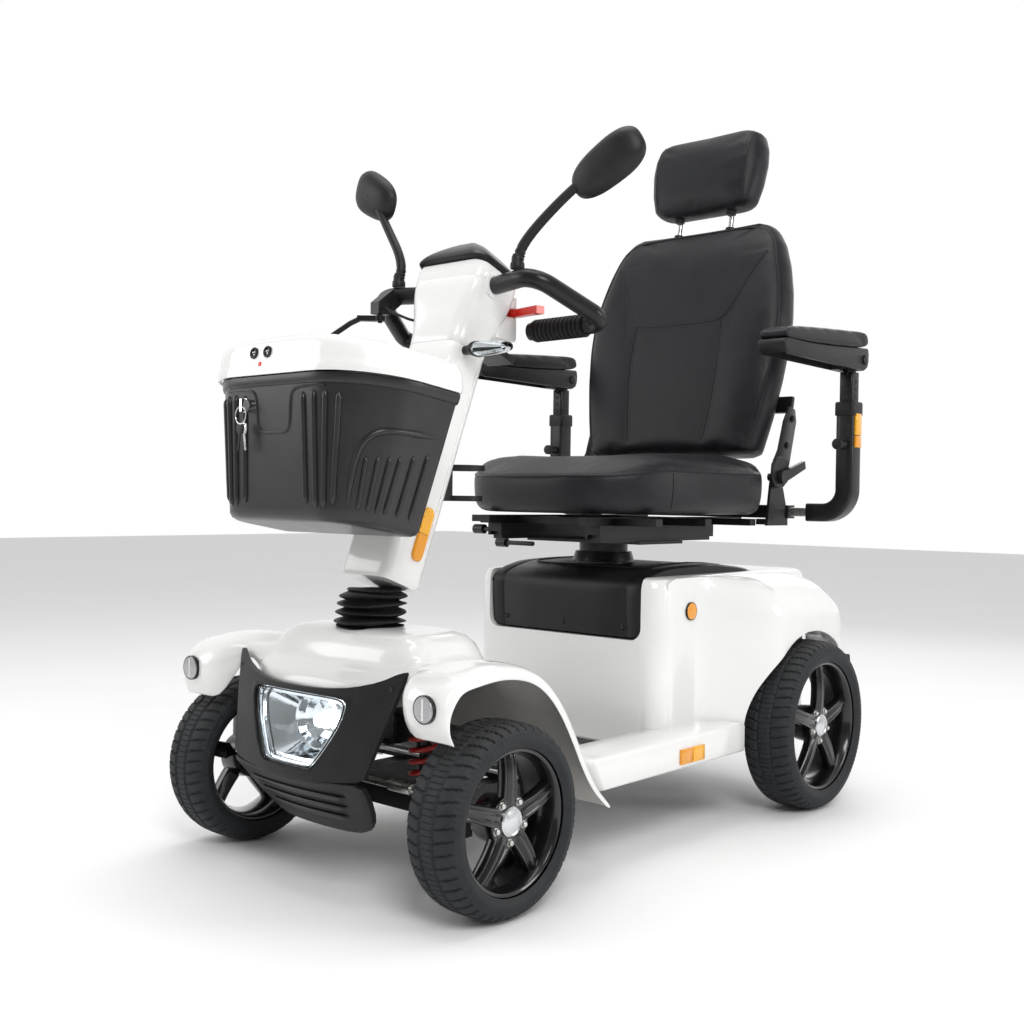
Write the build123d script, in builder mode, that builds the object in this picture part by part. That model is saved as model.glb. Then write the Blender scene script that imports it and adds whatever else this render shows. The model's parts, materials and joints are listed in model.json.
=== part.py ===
"""Four-wheel mobility scooter with steering, suspended front axle, tilting tiller and swivel seat.

Front of the scooter is -Y, the rider's left is +X, the ground is z = 0. Millimetres.
"""
import os
from math import cos, radians, sin, sqrt

from build123d import *

os.makedirs("parts", exist_ok=True)

# ---------------------------------------------------------------- driving dimensions
FRONT_Y = -464.0
FRONT_R = 147.0
FRONT_X = 305.0
FRONT_W = 101.0
FRONT_RIM = 110.0
REAR_Y = 464.0
REAR_R = 172.0
REAR_X = 327.5
REAR_W = 106.0
REAR_RIM = 130.0

SHAFT_R = 10.0
RUN = 0.06
ROOT = sqrt(0.5)
WALL = 4.0

KINGPIN_X = 240.0
KINGPIN_R = 7.0
STEER_Y = -450.0
ARM_LENGTH = 65.0
ROD_Z = 181.0

TILT_Y = -443.0
TILT_Z = 452.0
LEAN = 20.9
COLUMN_FOOT = (0, -425, 484)
COLUMN_LENGTH = 430.0

FACE_R = 519.5
FACE_Y = -72.0
UNDERCUT = 80.0
SPREAD = 34.0

BOX_X = 235.0
BOX_FRONT = 62.0
BOX_REAR = 660.0
BOX_TOP = 480.0
COVER_X = 191.0
FENDER_X = 345.0

SEAT_Y = 200.0
RAIL_X = 125.0
ARM_X = 384.0
ARM_Y = 524.0
ARM_Z = 607.0
ARM_PIVOT_Y = 532.0
ARM_PIVOT_Z = 922.0
BACK_LEAN = 12.0
RECLINE_Y = 462.0
RECLINE_Z = 680.0

LOOP_X = 84.0
THROTTLE_Y = -160.0
PADDLE_Y = -177.0
PADDLE_Z = 903.0
LEVER_PIVOT = (-148, -298)
MIRROR_X = 148.0
MIRROR_Y = -252.0
MIRROR_Z = 1020.5
LOCK_X = -62.0
LOCK_Z = 768.0

TILLER = Plane(origin=COLUMN_FOOT, x_dir=(1, 0, 0), z_dir=(0, sin(radians(LEAN)), cos(radians(LEAN))))
BACK = Plane(origin=(0, 455, 720), x_dir=(1, 0, 0), z_dir=(0, sin(radians(BACK_LEAN)), cos(radians(BACK_LEAN))))


def tiller_point(across, back, up):
    """World position of a point given in the tiller's own frame."""
    point = TILLER.from_local_coords(Vector(across, back, up))
    return (point.X, point.Y, point.Z)


SLOPE = 50.8
CONSOLE = Plane(
    origin=tiller_point(0, 32.2, COLUMN_LENGTH + 178.4),
    x_dir=(1, 0, 0),
    z_dir=(0, cos(radians(SLOPE - LEAN)), sin(radians(SLOPE - LEAN))),
)


def save(builder, name):
    """Label a finished piece and write it out under its node name."""
    builder.part.label = name
    export_step(builder.part, f"parts/{name}.step")


def side_plane(x):
    """Plane across the scooter at a given x: local x is +Y and local y is +Z."""
    return Plane.YZ.offset(x)


def front_plane(y):
    """Plane facing forward at a given y: local x is +X and local y is +Z."""
    return Plane.XZ.offset(-y)


def tube_path(points, bend, radius):
    """Round bar along straight runs joined by tangent arcs."""
    with BuildPart() as bar:
        with BuildLine() as route:
            FilletPolyline(*points, radius=bend)
        with BuildSketch(Plane(origin=route.line @ 0, z_dir=route.line % 0)):
            Circle(radius)
        sweep(path=route.line)
    return bar.part


# ---------------------------------------------------------------- wheels
def make_tyre(name, side, axle_y, radius, track, width, rim):
    """Block-tread tyre: a closed ring whose sidewalls bulge past the rim."""
    half = width / 2
    centre = (side * track, axle_y, radius)
    with BuildPart() as tyre:
        with BuildSketch(Plane(origin=centre, x_dir=(1, 0, 0), z_dir=(0, -1, 0))):
            with BuildLine():
                crown = ThreePointArc((-half + 14, radius - 6), (0, radius), (half - 14, radius - 6))
                right = Spline(crown @ 1, (half, radius * 0.6 + rim * 0.4), (half - 14, rim))
                left = Spline(crown @ 0, (-half, radius * 0.6 + rim * 0.4), (-half + 14, rim))
                Line(right @ 1, left @ 1)
            make_face()
        revolve(axis=Axis(centre, (1, 0, 0)))
        for offset in (-22, 0, 22):
            with BuildSketch(Plane(origin=centre, x_dir=(1, 0, 0), z_dir=(0, -1, 0))):
                with Locations((offset, radius)):
                    Rectangle(4, 14)
            revolve(axis=Axis(centre, (1, 0, 0)), mode=Mode.SUBTRACT)
    save(tyre, name)


def make_rim(name, side, axle_y, radius, track, width, rim, driven):
    """Five-spoke alloy rim, with its centre cap and five wheel nuts as loose pieces."""
    half = width / 2
    centre = (side * track, axle_y, radius)
    outer_face = side * (track + half - 20)
    plane = side_plane(outer_face)
    with BuildPart() as wheel:
        with BuildSketch(Plane(origin=centre, x_dir=(1, 0, 0), z_dir=(0, -1, 0))):
            with BuildLine():
                Polyline(
                    (-half + 15, rim - 0.2), (half - 15, rim - 0.2), (half - 12, rim - 7),
                    (half - 22, rim - 11), (-half + 22, rim - 11), (-half + 12, rim - 7), close=True,
                )
            make_face()
        revolve(axis=Axis(centre, (1, 0, 0)))
        with BuildSketch(plane):
            with Locations((axle_y, radius)):
                Circle(40)
        extrude(amount=-side * 46)
        with BuildSketch(plane):
            with Locations((axle_y, radius)):
                with PolarLocations(0, 5, start_angle=90):
                    Polygon((30, -17), (30, 17), (rim - 5, 11), (rim - 5, -11), align=None)
        extrude(amount=-side * 16)
        for ridge in (-9, 9):
            with BuildSketch(plane):
                with Locations((axle_y, radius)):
                    with PolarLocations(0, 5, start_angle=90):
                        with Locations((rim / 2 + 18, ridge)):
                            Rectangle(rim - 48, 5)
            extrude(amount=side * 4)
        if driven:
            with BuildSketch(side_plane(side * 150)):
                with Locations((axle_y, radius)):
                    Circle(SHAFT_R)
            extrude(amount=side * (track - 150))
        else:
            with BuildSketch(side_plane(outer_face - side * 46)):
                with Locations((axle_y, radius)):
                    Circle(SHAFT_R + RUN)
            extrude(amount=side * 42, mode=Mode.SUBTRACT)
        with BuildSketch(side_plane(outer_face + side * 0.3)):
            with Locations((axle_y, radius)):
                Circle(23)
        extrude(amount=side * 7)
        with BuildSketch(side_plane(outer_face + side * 0.3)):
            with Locations((axle_y, radius)):
                with PolarLocations(32, 5, start_angle=54):
                    RegularPolygon(6.5, 6)
        extrude(amount=side * 8)
    save(wheel, name)


def wheels():
    """Two small steered wheels in front and two larger driven wheels behind."""
    for side, hand in ((1, "left"), (-1, "right")):
        make_tyre(f"front_tyre_{hand}", side, FRONT_Y, FRONT_R, FRONT_X, FRONT_W, FRONT_RIM)
        make_rim(f"front_rim_{hand}", side, FRONT_Y, FRONT_R, FRONT_X, FRONT_W, FRONT_RIM, False)
        make_tyre(f"rear_tyre_{hand}", side, REAR_Y, REAR_R, REAR_X, REAR_W, REAR_RIM)
        make_rim(f"rear_rim_{hand}", side, REAR_Y, REAR_R, REAR_X, REAR_W, REAR_RIM, True)


# ---------------------------------------------------------------- chassis and drive
def chassis():
    """Welded frame: two rails, cross bars, raised front bridge, spring towers and seat post."""
    with BuildPart() as frame:
        with BuildSketch(Plane.XY.offset(100)):
            with Locations((-120, 108), (120, 108)):
                Rectangle(40, 984)
        extrude(amount=40)
        with BuildSketch(Plane.XY.offset(140)):
            with Locations((0, -240), (0, -90), (0, 40)):
                Rectangle(390, 30)
        extrude(amount=10)
        with BuildSketch(Plane.XY.offset(100)):
            with Locations((0, -370), (0, 200), (0, 585)):
                Rectangle(200, 30)
        extrude(amount=40)
        for x in (-120, 120):
            with BuildSketch(side_plane(x - 10)):
                Polygon((-384, 100), (-350, 140), (-350, 245), (-424, 245), (-424, 190), (-400, 190), align=None)
            extrude(amount=20)
        with BuildSketch(Plane.XY.offset(235)):
            with Locations((0, -428)):
                Rectangle(236, 156)
        extrude(amount=10)
        with BuildSketch(Plane.XY.offset(235)):
            with Locations((0, STEER_Y)):
                Circle(26)
        extrude(amount=75)
        for x in (-150, 150):
            with BuildSketch(Plane.XY.offset(284)):
                with Locations((x, FRONT_Y)):
                    Rectangle(68, 60)
            extrude(amount=8)
            with BuildSketch(Plane.XY.offset(222)):
                with Locations((x, FRONT_Y)):
                    Circle(11)
            extrude(amount=78)
        for x in (-116, 116):
            with BuildSketch(side_plane(x - 3)):
                with Locations((FRONT_Y, 263)):
                    Rectangle(60, 56)
            extrude(amount=6)
        with BuildSketch(Plane.XY.offset(120)):
            with Locations((0, SEAT_Y)):
                Rectangle(60, 60)
        extrude(amount=335)
        with BuildSketch(Plane.XY.offset(455)):
            with Locations((0, SEAT_Y)):
                Circle(56)
        extrude(amount=46)
        with BuildSketch(Plane.XY.offset(230)):
            with Locations((0, STEER_Y)):
                Circle(14 + RUN)
            with Locations((-150, FRONT_Y), (150, FRONT_Y)):
                Circle(6 + RUN)
        extrude(amount=90, mode=Mode.SUBTRACT)
        with BuildSketch(Plane.XY.offset(220)):
            with Locations((-150, FRONT_Y), (150, FRONT_Y)):
                Circle(6 + RUN)
        extrude(amount=20, mode=Mode.SUBTRACT)
        with BuildSketch(Plane.XY.offset(398)):
            with Locations((0, SEAT_Y)):
                Circle(20 + RUN)
        extrude(amount=110, mode=Mode.SUBTRACT)
    save(frame, "chassis_frame")


def power_train():
    """Two sealed batteries beside the seat post, and the rear transaxle with its motor."""
    with BuildPart() as cells:
        with BuildSketch(Plane.XY.offset(150.2)):
            with Locations((-118, 200), (118, 200)):
                Rectangle(150, 230)
        extrude(amount=190)
        with BuildSketch(Plane.XY.offset(340)):
            with Locations((-150, 110), (-86, 110), (150, 110), (86, 110)):
                Circle(7)
        extrude(amount=10)
    save(cells, "batteries")
    with BuildPart() as drive:
        with BuildSketch(side_plane(-212)):
            with Locations((REAR_Y, REAR_R)):
                Circle(31)
        extrude(amount=424)
        with BuildSketch(side_plane(-60)):
            with Locations((REAR_Y, REAR_R)):
                Circle(64)
        extrude(amount=110)
        with BuildSketch(front_plane(500)):
            with Locations((20, REAR_R + 20)):
                Circle(46)
        extrude(amount=-130)
        with BuildSketch(Plane.XY.offset(140.2)):
            with Locations((-120, REAR_Y), (120, REAR_Y)):
                Rectangle(36, 60)
        extrude(amount=30)
        with BuildSketch(side_plane(-214)):
            with Locations((REAR_Y, REAR_R)):
                Circle(SHAFT_R + RUN)
        extrude(amount=80, mode=Mode.SUBTRACT)
        with BuildSketch(side_plane(134)):
            with Locations((REAR_Y, REAR_R)):
                Circle(SHAFT_R + RUN)
        extrude(amount=80, mode=Mode.SUBTRACT)
    save(drive, "transaxle")


# ---------------------------------------------------------------- front axle and steering
def front_suspension():
    """Beam axle on two guide rods and coil springs, with a yoke and kingpin at each end."""
    with BuildPart() as axle:
        with BuildSketch(side_plane(-214)):
            with Locations((FRONT_Y, FRONT_R)):
                Rectangle(36, 36)
        extrude(amount=428)
        for side in (-1, 1):
            with BuildSketch(side_plane(side * 208)):
                with Locations((FRONT_Y, FRONT_R)):
                    Rectangle(34, 86)
            extrude(amount=side * 10)
            with BuildSketch(Plane.XY.offset(FRONT_R - 43)):
                with Locations((side * (KINGPIN_X - 12), FRONT_Y)):
                    Rectangle(36, 30)
            extrude(amount=11)
            with BuildSketch(Plane.XY.offset(FRONT_R + 32)):
                with Locations((side * (KINGPIN_X - 12), FRONT_Y)):
                    Rectangle(36, 30)
            extrude(amount=11)
            with BuildSketch(Plane.XY.offset(FRONT_R - 43)):
                with Locations((side * KINGPIN_X, FRONT_Y)):
                    Circle(KINGPIN_R)
            extrude(amount=86)
            with BuildSketch(Plane.XY.offset(FRONT_R)):
                with Locations((side * 150, FRONT_Y)):
                    Circle(6)
            extrude(amount=118)
            with BuildSketch(Plane.XY.offset(FRONT_R + 17)):
                with Locations((side * 150, FRONT_Y)):
                    Circle(30)
            extrude(amount=6)
    save(axle, "front_axle")
    with BuildPart() as springs:
        for x in (-150, 150):
            with BuildLine(Plane(origin=(x, FRONT_Y, 178), z_dir=(0, 0, 1))) as coil:
                Helix(pitch=18, height=99, radius=20)
            with BuildSketch(Plane(origin=coil.line @ 0, z_dir=coil.line % 0)):
                Circle(4)
            sweep(path=coil.line, is_frenet=True)
    save(springs, "front_springs")


def knuckles():
    """Steering knuckles: kingpin barrel, stub axle and forward steering arm with its pin."""
    for side, hand in ((1, "left"), (-1, "right")):
        x = side * KINGPIN_X
        with BuildPart() as knuckle:
            with BuildSketch(Plane.XY.offset(FRONT_R - 31)):
                with Locations((x, FRONT_Y)):
                    Circle(13)
            extrude(amount=62)
            with BuildSketch(side_plane(x)):
                with Locations((FRONT_Y, FRONT_R)):
                    Circle(SHAFT_R)
            extrude(amount=side * 90)
            with BuildSketch(Plane.XY.offset(FRONT_R + 14)):
                with Locations((x, FRONT_Y - ARM_LENGTH / 2)):
                    Rectangle(14, ARM_LENGTH)
                with Locations((x, FRONT_Y - ARM_LENGTH)):
                    Circle(7)
            extrude(amount=10)
            with BuildSketch(Plane.XY.offset(FRONT_R + 20)):
                with Locations((x, FRONT_Y - ARM_LENGTH)):
                    Circle(4)
            extrude(amount=24)
            with BuildSketch(Plane.XY.offset(FRONT_R - 32)):
                with Locations((x, FRONT_Y)):
                    Circle(KINGPIN_R + RUN)
            extrude(amount=64, mode=Mode.SUBTRACT)
        save(knuckle, f"knuckle_{hand}")


def steering():
    """Vertical steering column with its drop arm, and the track rod that joins both knuckles."""
    rod_y = FRONT_Y - ARM_LENGTH
    pin_y = STEER_Y - ARM_LENGTH
    with BuildPart() as column:
        with BuildSketch(Plane.XY.offset(216)):
            with Locations((0, STEER_Y)):
                Circle(14)
        extrude(amount=222)
        with BuildSketch(Plane.XY.offset(216)):
            with Locations((0, STEER_Y - ARM_LENGTH / 2)):
                Rectangle(16, ARM_LENGTH)
            with Locations((0, pin_y)):
                Circle(8)
        extrude(amount=10)
        with BuildSketch(Plane.XY.offset(162)):
            with Locations((0, pin_y)):
                Circle(4)
        extrude(amount=58)
        with BuildSketch(side_plane(-20)):
            with Locations((TILT_Y, TILT_Z)):
                Circle(16)
        extrude(amount=40)
        with BuildSketch(side_plane(-21)):
            with Locations((TILT_Y, TILT_Z)):
                Circle(8 + RUN)
        extrude(amount=42, mode=Mode.SUBTRACT)
        with BuildSketch(Plane.XY.offset(311)):
            with Locations((0, STEER_Y)):
                Circle(24)
        extrude(amount=8)
    save(column, "steering_column")
    with BuildPart() as rod:
        with BuildSketch(side_plane(-KINGPIN_X + 6)):
            with Locations((rod_y, ROD_Z)):
                Circle(6)
        extrude(amount=2 * KINGPIN_X - 12)
        for x in (-KINGPIN_X, KINGPIN_X):
            with BuildSketch(Plane.XY.offset(ROD_Z - 7)):
                with Locations((x, rod_y)):
                    Circle(10)
            extrude(amount=14)
        for x in (-170, 170):
            with BuildSketch(side_plane(x - 24)):
                with Locations((rod_y, ROD_Z)):
                    Circle(9)
            extrude(amount=48)
        with BuildSketch(Plane.XY.offset(ROD_Z - 7)):
            with Locations((0, pin_y)):
                Circle(10)
        extrude(amount=14)
        with BuildSketch(Plane.XY.offset(ROD_Z - 8)):
            with Locations((-KINGPIN_X, rod_y), (KINGPIN_X, rod_y), (0, pin_y)):
                Circle(4 + RUN)
        extrude(amount=16, mode=Mode.SUBTRACT)
    save(rod, "track_rod")


def bellows():
    """Pleated rubber boot between the nose and the tiller foot."""
    pleats = 5
    pitch = 12.0
    with BuildPart() as boot:
        with BuildSketch(Plane(origin=(0, TILT_Y, 0), x_dir=(1, 0, 0), z_dir=(0, -1, 0))):
            with BuildLine():
                outer = [(46, 410)]
                inner = [(41, 410)]
                for index in range(pleats):
                    base = 410 + index * pitch
                    outer += [(62 - index, base + pitch / 2), (48, base + pitch)]
                    inner += [(56 - index, base + pitch / 2), (42, base + pitch)]
                Polyline(*outer, *reversed(inner), close=True)
            make_face()
        revolve(axis=Axis((0, TILT_Y, 0), (0, 0, 1)))
    save(boot, "bellows")


# ---------------------------------------------------------------- body shells
def front_shell():
    """One white moulding: centre hump, brow, both front fenders and the footwell apron."""
    fender_line = [
        (-595, 300), (-598, 338), (-562, 367), (-480, 379), (-395, 366), (-325, 318), (-258, 226), (-190, 114),
    ]
    apron_line = [(-344, 353), (-308, 300), (-268, 166)]
    with BuildPart() as shell:
        for side in (-1, 1):
            with BuildSketch(side_plane(side * 206)):
                with BuildLine():
                    FilletPolyline(*fender_line, radius=24)
                    offset(amount=7, side=Side.RIGHT)
                make_face()
            extrude(amount=side * 122)
        with BuildSketch(Plane.XY.offset(330)):
            with Locations((0, -441)):
                RectangleRounded(416, 222, 20)
        extrude(amount=78, taper=28)
        with BuildSketch(Plane.XY.offset(326)):
            with Locations((0, -441)):
                RectangleRounded(406, 212, 16)
        extrude(amount=76, taper=28, mode=Mode.SUBTRACT)
        with BuildSketch(side_plane(-100)):
            with BuildLine():
                Polyline((-592, 335), (-568, 352), (-530, 366), (-530, 358), (-566, 346), (-588, 333), close=True)
            make_face()
        extrude(amount=200)
        with BuildSketch(side_plane(-185)):
            with BuildLine():
                Polyline(*apron_line)
                offset(amount=5, side=Side.RIGHT)
            make_face()
        extrude(amount=370)
        with BuildSketch(Plane.XY.offset(380)):
            with Locations((0, TILT_Y)):
                Circle(40)
        extrude(amount=40, mode=Mode.SUBTRACT)
    save(shell, "front_shell")


def deck():
    """Floor pan with a raised sill on each side, and the ribbed rubber mat on it."""
    with BuildPart() as pan:
        with BuildSketch(Plane.XY.offset(150.2)):
            with Locations((0, -101)):
                Rectangle(410, 322)
        extrude(amount=6)
        for side in (-1, 1):
            with BuildSketch(side_plane(side * 205)):
                with BuildLine():
                    Polyline((-170, 138), (-204, 196), (258, 196), (258, 138), close=True)
                make_face()
            extrude(amount=side * 101)
        with BuildSketch(Plane.XY.offset(130)):
            with Locations((0, 200)):
                Rectangle(2 * BOX_X + 1, 2 * (200 - BOX_FRONT) + 1)
        extrude(amount=80, mode=Mode.SUBTRACT)
        for side in (-1, 1):
            with BuildSketch(Plane.XY.offset(134)):
                with Locations((side * 252, 40)):
                    Rectangle(90, 400)
            extrude(amount=56, mode=Mode.SUBTRACT)
    save(pan, "deck_shell")
    with BuildPart() as mat:
        with BuildSketch(Plane.XY.offset(156.4)):
            with Locations((0, -101)):
                RectangleRounded(398, 310, 12)
        extrude(amount=5)
        with BuildSketch(Plane.XY.offset(160)):
            with Locations((0, -101)):
                with GridLocations(20, 0, 19, 1):
                    Rectangle(4, 290)
        extrude(amount=4, mode=Mode.SUBTRACT)
    save(mat, "floor_mat")


def rear_shell():
    """White rear body: battery box under the seat with a fender over each rear wheel."""
    fender = [
        (262, 150), (272, 300), (325, 415), (430, 479), (545, 470), (622, 412), (645, 306), (626, 292),
    ]
    with BuildPart() as shell:
        with BuildSketch(Plane.XY.offset(157)):
            with Locations((0, (BOX_FRONT + BOX_REAR) / 2)):
                RectangleRounded(2 * BOX_X, BOX_REAR - BOX_FRONT, 30)
        extrude(amount=BOX_TOP - 157)
        for side in (-1, 1):
            with BuildSketch(side_plane(side * (BOX_X - 10))):
                Polygon(*fender, align=None)
                with Locations((REAR_Y, REAR_R)):
                    Circle(190, mode=Mode.SUBTRACT)
            extrude(amount=side * (FENDER_X - BOX_X + 10))
        with BuildSketch(Plane.XY.offset(150)):
            with Locations((0, (BOX_FRONT + BOX_REAR) / 2)):
                RectangleRounded(2 * (BOX_X - WALL), BOX_REAR - BOX_FRONT - 2 * WALL, 26)
        extrude(amount=BOX_TOP - 150 - WALL, mode=Mode.SUBTRACT)
        for side in (-1, 1):
            with BuildSketch(side_plane(side * (BOX_X - 20))):
                with BuildSketch(mode=Mode.PRIVATE) as hollow:
                    Polygon(*fender, align=None)
                    with Locations((REAR_Y, REAR_R)):
                        Circle(190, mode=Mode.SUBTRACT)
                offset(hollow.sketch, amount=-WALL)
            extrude(amount=side * (FENDER_X - BOX_X + 20 - WALL), mode=Mode.SUBTRACT)
        with BuildSketch(Plane.XY.offset(361)):
            with Locations((0, 260)):
                Rectangle(2 * COVER_X + 4, 424)
        extrude(amount=150, mode=Mode.SUBTRACT)
        for side in (-1, 1):
            with BuildSketch(side_plane(side * 150)):
                with Locations((REAR_Y, REAR_R)):
                    Circle(36)
            extrude(amount=side * 100, mode=Mode.SUBTRACT)
    save(shell, "rear_shell")


def seat_box_cover():
    """Black lift-off cover over the batteries, with its three front screws."""
    outer = [(70, 362), (64, 450), (85, 478), (160, 498), (300, 500), (469, 484), (469, 440), (92, 440), (92, 362)]
    inner = [(75, 350), (69, 449), (88, 473), (160, 493), (300, 495), (464, 480), (464, 430), (95, 430), (95, 350)]
    with BuildPart() as cover:
        with BuildSketch(side_plane(-COVER_X)):
            Polygon(*outer, align=None)
        extrude(amount=2 * COVER_X)
        with BuildSketch(side_plane(-COVER_X + WALL)):
            Polygon(*inner, align=None)
        extrude(amount=2 * (COVER_X - WALL), mode=Mode.SUBTRACT)
        with BuildSketch(Plane.XY.offset(430)):
            with Locations((0, SEAT_Y)):
                Circle(60)
        extrude(amount=90, mode=Mode.SUBTRACT)
        with BuildSketch(front_plane(69)):
            with Locations((-176, 376), (0, 376), (176, 376)):
                Circle(5)
        extrude(amount=3)
    save(cover, "seat_box_cover")


def curved_panel(outline, lift, thickness):
    """Panel wrapped round the nose: it leans forward down to the chin and tucks in below it."""
    brow = FACE_Y - FACE_R - lift
    chin = brow - SPREAD
    throat = chin + UNDERCUT
    with BuildPart() as panel:
        with BuildSketch(side_plane(0)):
            Polygon(
                (brow, 400), (chin, 190), (throat, 90), (throat + thickness, 90), (chin + thickness, 190),
                (brow + thickness, 400), align=None,
            )
        revolve(axis=Axis((0, FACE_Y, 0), (0, 0, 1)))
        with BuildSketch(front_plane(-400)):
            Polygon(*outline, align=None)
        extrude(amount=300, mode=Mode.INTERSECT)
    return panel.part


WINDOW = [(-114, 317), (114, 317), (100, 268), (56, 204), (-56, 204), (-100, 268)]


def nose_panels():
    """Black face: mask around the headlight, ribbed bumper, clear lens and bright reflector."""
    mask_line = [
        (-204, 363), (-118, 334), (0, 327), (118, 334), (204, 363), (180, 270), (160, 196), (0, 188), (-160, 196),
        (-180, 270),
    ]
    bumper_line = [(-159, 192), (0, 184), (159, 192), (136, 128), (90, 96), (-90, 96), (-136, 128)]
    with BuildPart() as mask:
        add(curved_panel(mask_line, 0, 7))
        with BuildSketch(front_plane(-400)):
            Polygon(*WINDOW, align=None)
        extrude(amount=300, mode=Mode.SUBTRACT)
    save(mask, "front_mask")
    with BuildPart() as bumper:
        add(curved_panel(bumper_line, 0, 9))
        for z, half in ((162, 116), (143, 106), (124, 94)):
            rib = [(-half, z - 4), (-half, z + 4), (half, z + 4), (half, z - 4)]
            add(curved_panel(rib, 3, 6))
    save(bumper, "front_bumper")
    lens_line = [(x * 0.985, 260 + (z - 260) * 0.985) for x, z in WINDOW]
    with BuildPart() as lens:
        add(curved_panel(lens_line, -2, 3))
    save(lens, "headlight_lens")
    with BuildPart() as reflector:
        with BuildSketch(front_plane(-580)):
            Polygon(*lens_line, align=None)
        extrude(amount=-34, taper=18)
        with BuildSketch(front_plane(-583)):
            Polygon(*[(x * 0.95, 260 + (z - 260) * 0.95) for x, z in WINDOW], align=None)
        extrude(amount=-34, taper=18, mode=Mode.SUBTRACT)
        with BuildSketch(front_plane(-547)):
            with Locations((28, 268)):
                Circle(9)
        extrude(amount=26)
    save(reflector, "headlight_reflector")


def lights_and_reflectors():
    """Round front reflectors, amber side reflectors and the rear lamps, all on the body."""
    with BuildPart() as trim:
        with BuildSketch(front_plane(-599)):
            with Locations((-290, 324), (290, 324)):
                Circle(20)
        extrude(amount=6)
        for side in (-1, 1):
            with BuildSketch(side_plane(side * (BOX_X + 0.2))):
                with Locations((170, 414)):
                    Circle(17)
            extrude(amount=side * 5)
            with BuildSketch(side_plane(side * 306.2)):
                with Locations((72, 162)):
                    Rectangle(78, 28)
            extrude(amount=side * 6)
        with BuildSketch(front_plane(BOX_REAR + 0.2)):
            with Locations((-160, 400), (160, 400)):
                Rectangle(80, 44)
        extrude(amount=-8)
    save(trim, "lights_and_reflectors")


# ---------------------------------------------------------------- tiller
def tiller_body():
    """White column and head, with the black console hood on top."""
    with BuildPart() as column:
        with BuildSketch(TILLER):
            RectangleRounded(118, 92, 18)
        extrude(amount=COLUMN_LENGTH)
        with BuildSketch(TILLER.offset(-5)):
            RectangleRounded(106, 80, 14)
        extrude(amount=60, mode=Mode.SUBTRACT)
        for x in (-31, 22):
            with BuildSketch(side_plane(x)):
                with Locations((TILT_Y, TILT_Z)):
                    Circle(15)
                Polygon((-458, 452), (-410, 560), (-380, 548), (-428, 452), align=None)
            extrude(amount=9)
        with BuildSketch(side_plane(-31)):
            with Locations((TILT_Y, TILT_Z)):
                Circle(8)
        extrude(amount=62)
    save(column, "tiller_column")
    with BuildPart() as head:
        with BuildSketch(TILLER.offset(COLUMN_LENGTH + 0.3)):
            RectangleRounded(118, 96, 18)
        with BuildSketch(TILLER.offset(COLUMN_LENGTH + 60)):
            RectangleRounded(164, 112, 22)
        loft()
        with BuildSketch(TILLER.offset(COLUMN_LENGTH + 60)):
            RectangleRounded(164, 112, 22)
        extrude(amount=95)
        for low, high in ((912, 955.6), (970.4, 994)):
            with BuildSketch(Plane.XY.offset(low)):
                Polygon((-70, -210), (70, -210), (62, -148), (-62, -148), align=None)
            extrude(amount=high - low)
        with BuildSketch(Plane.XY.offset(950)):
            with Locations((0, THROTTLE_Y)):
                Circle(4)
        extrude(amount=26)
        for side in (-1, 1):
            with BuildSketch(side_plane(side * 76)):
                with Locations((-238, 1001)):
                    Circle(22)
            extrude(amount=side * 6.8)
        for x in (-41, 34):
            with BuildSketch(side_plane(x)):
                Polygon((-190, 914), (-190, 904), (-178, 896), (-168, 904), (-166, 914), align=None)
            extrude(amount=7)
        with BuildSketch(side_plane(-38)):
            with Locations((PADDLE_Y, PADDLE_Z)):
                Circle(3)
        extrude(amount=76)
    save(head, "tiller_head")
    with BuildPart() as hood:
        with BuildSketch(TILLER.offset(COLUMN_LENGTH + 155.3)):
            with Locations((0, -3)):
                RectangleRounded(178, 126, 28)
        with BuildSketch(TILLER.offset(COLUMN_LENGTH + 201)):
            with Locations((0, -24)):
                RectangleRounded(106, 56, 22)
        loft()
        with BuildSketch(CONSOLE):
            with Locations((34, 0)):
                Circle(9.5)
        extrude(amount=-3, mode=Mode.SUBTRACT)
    save(hood, "console_hood")


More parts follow.
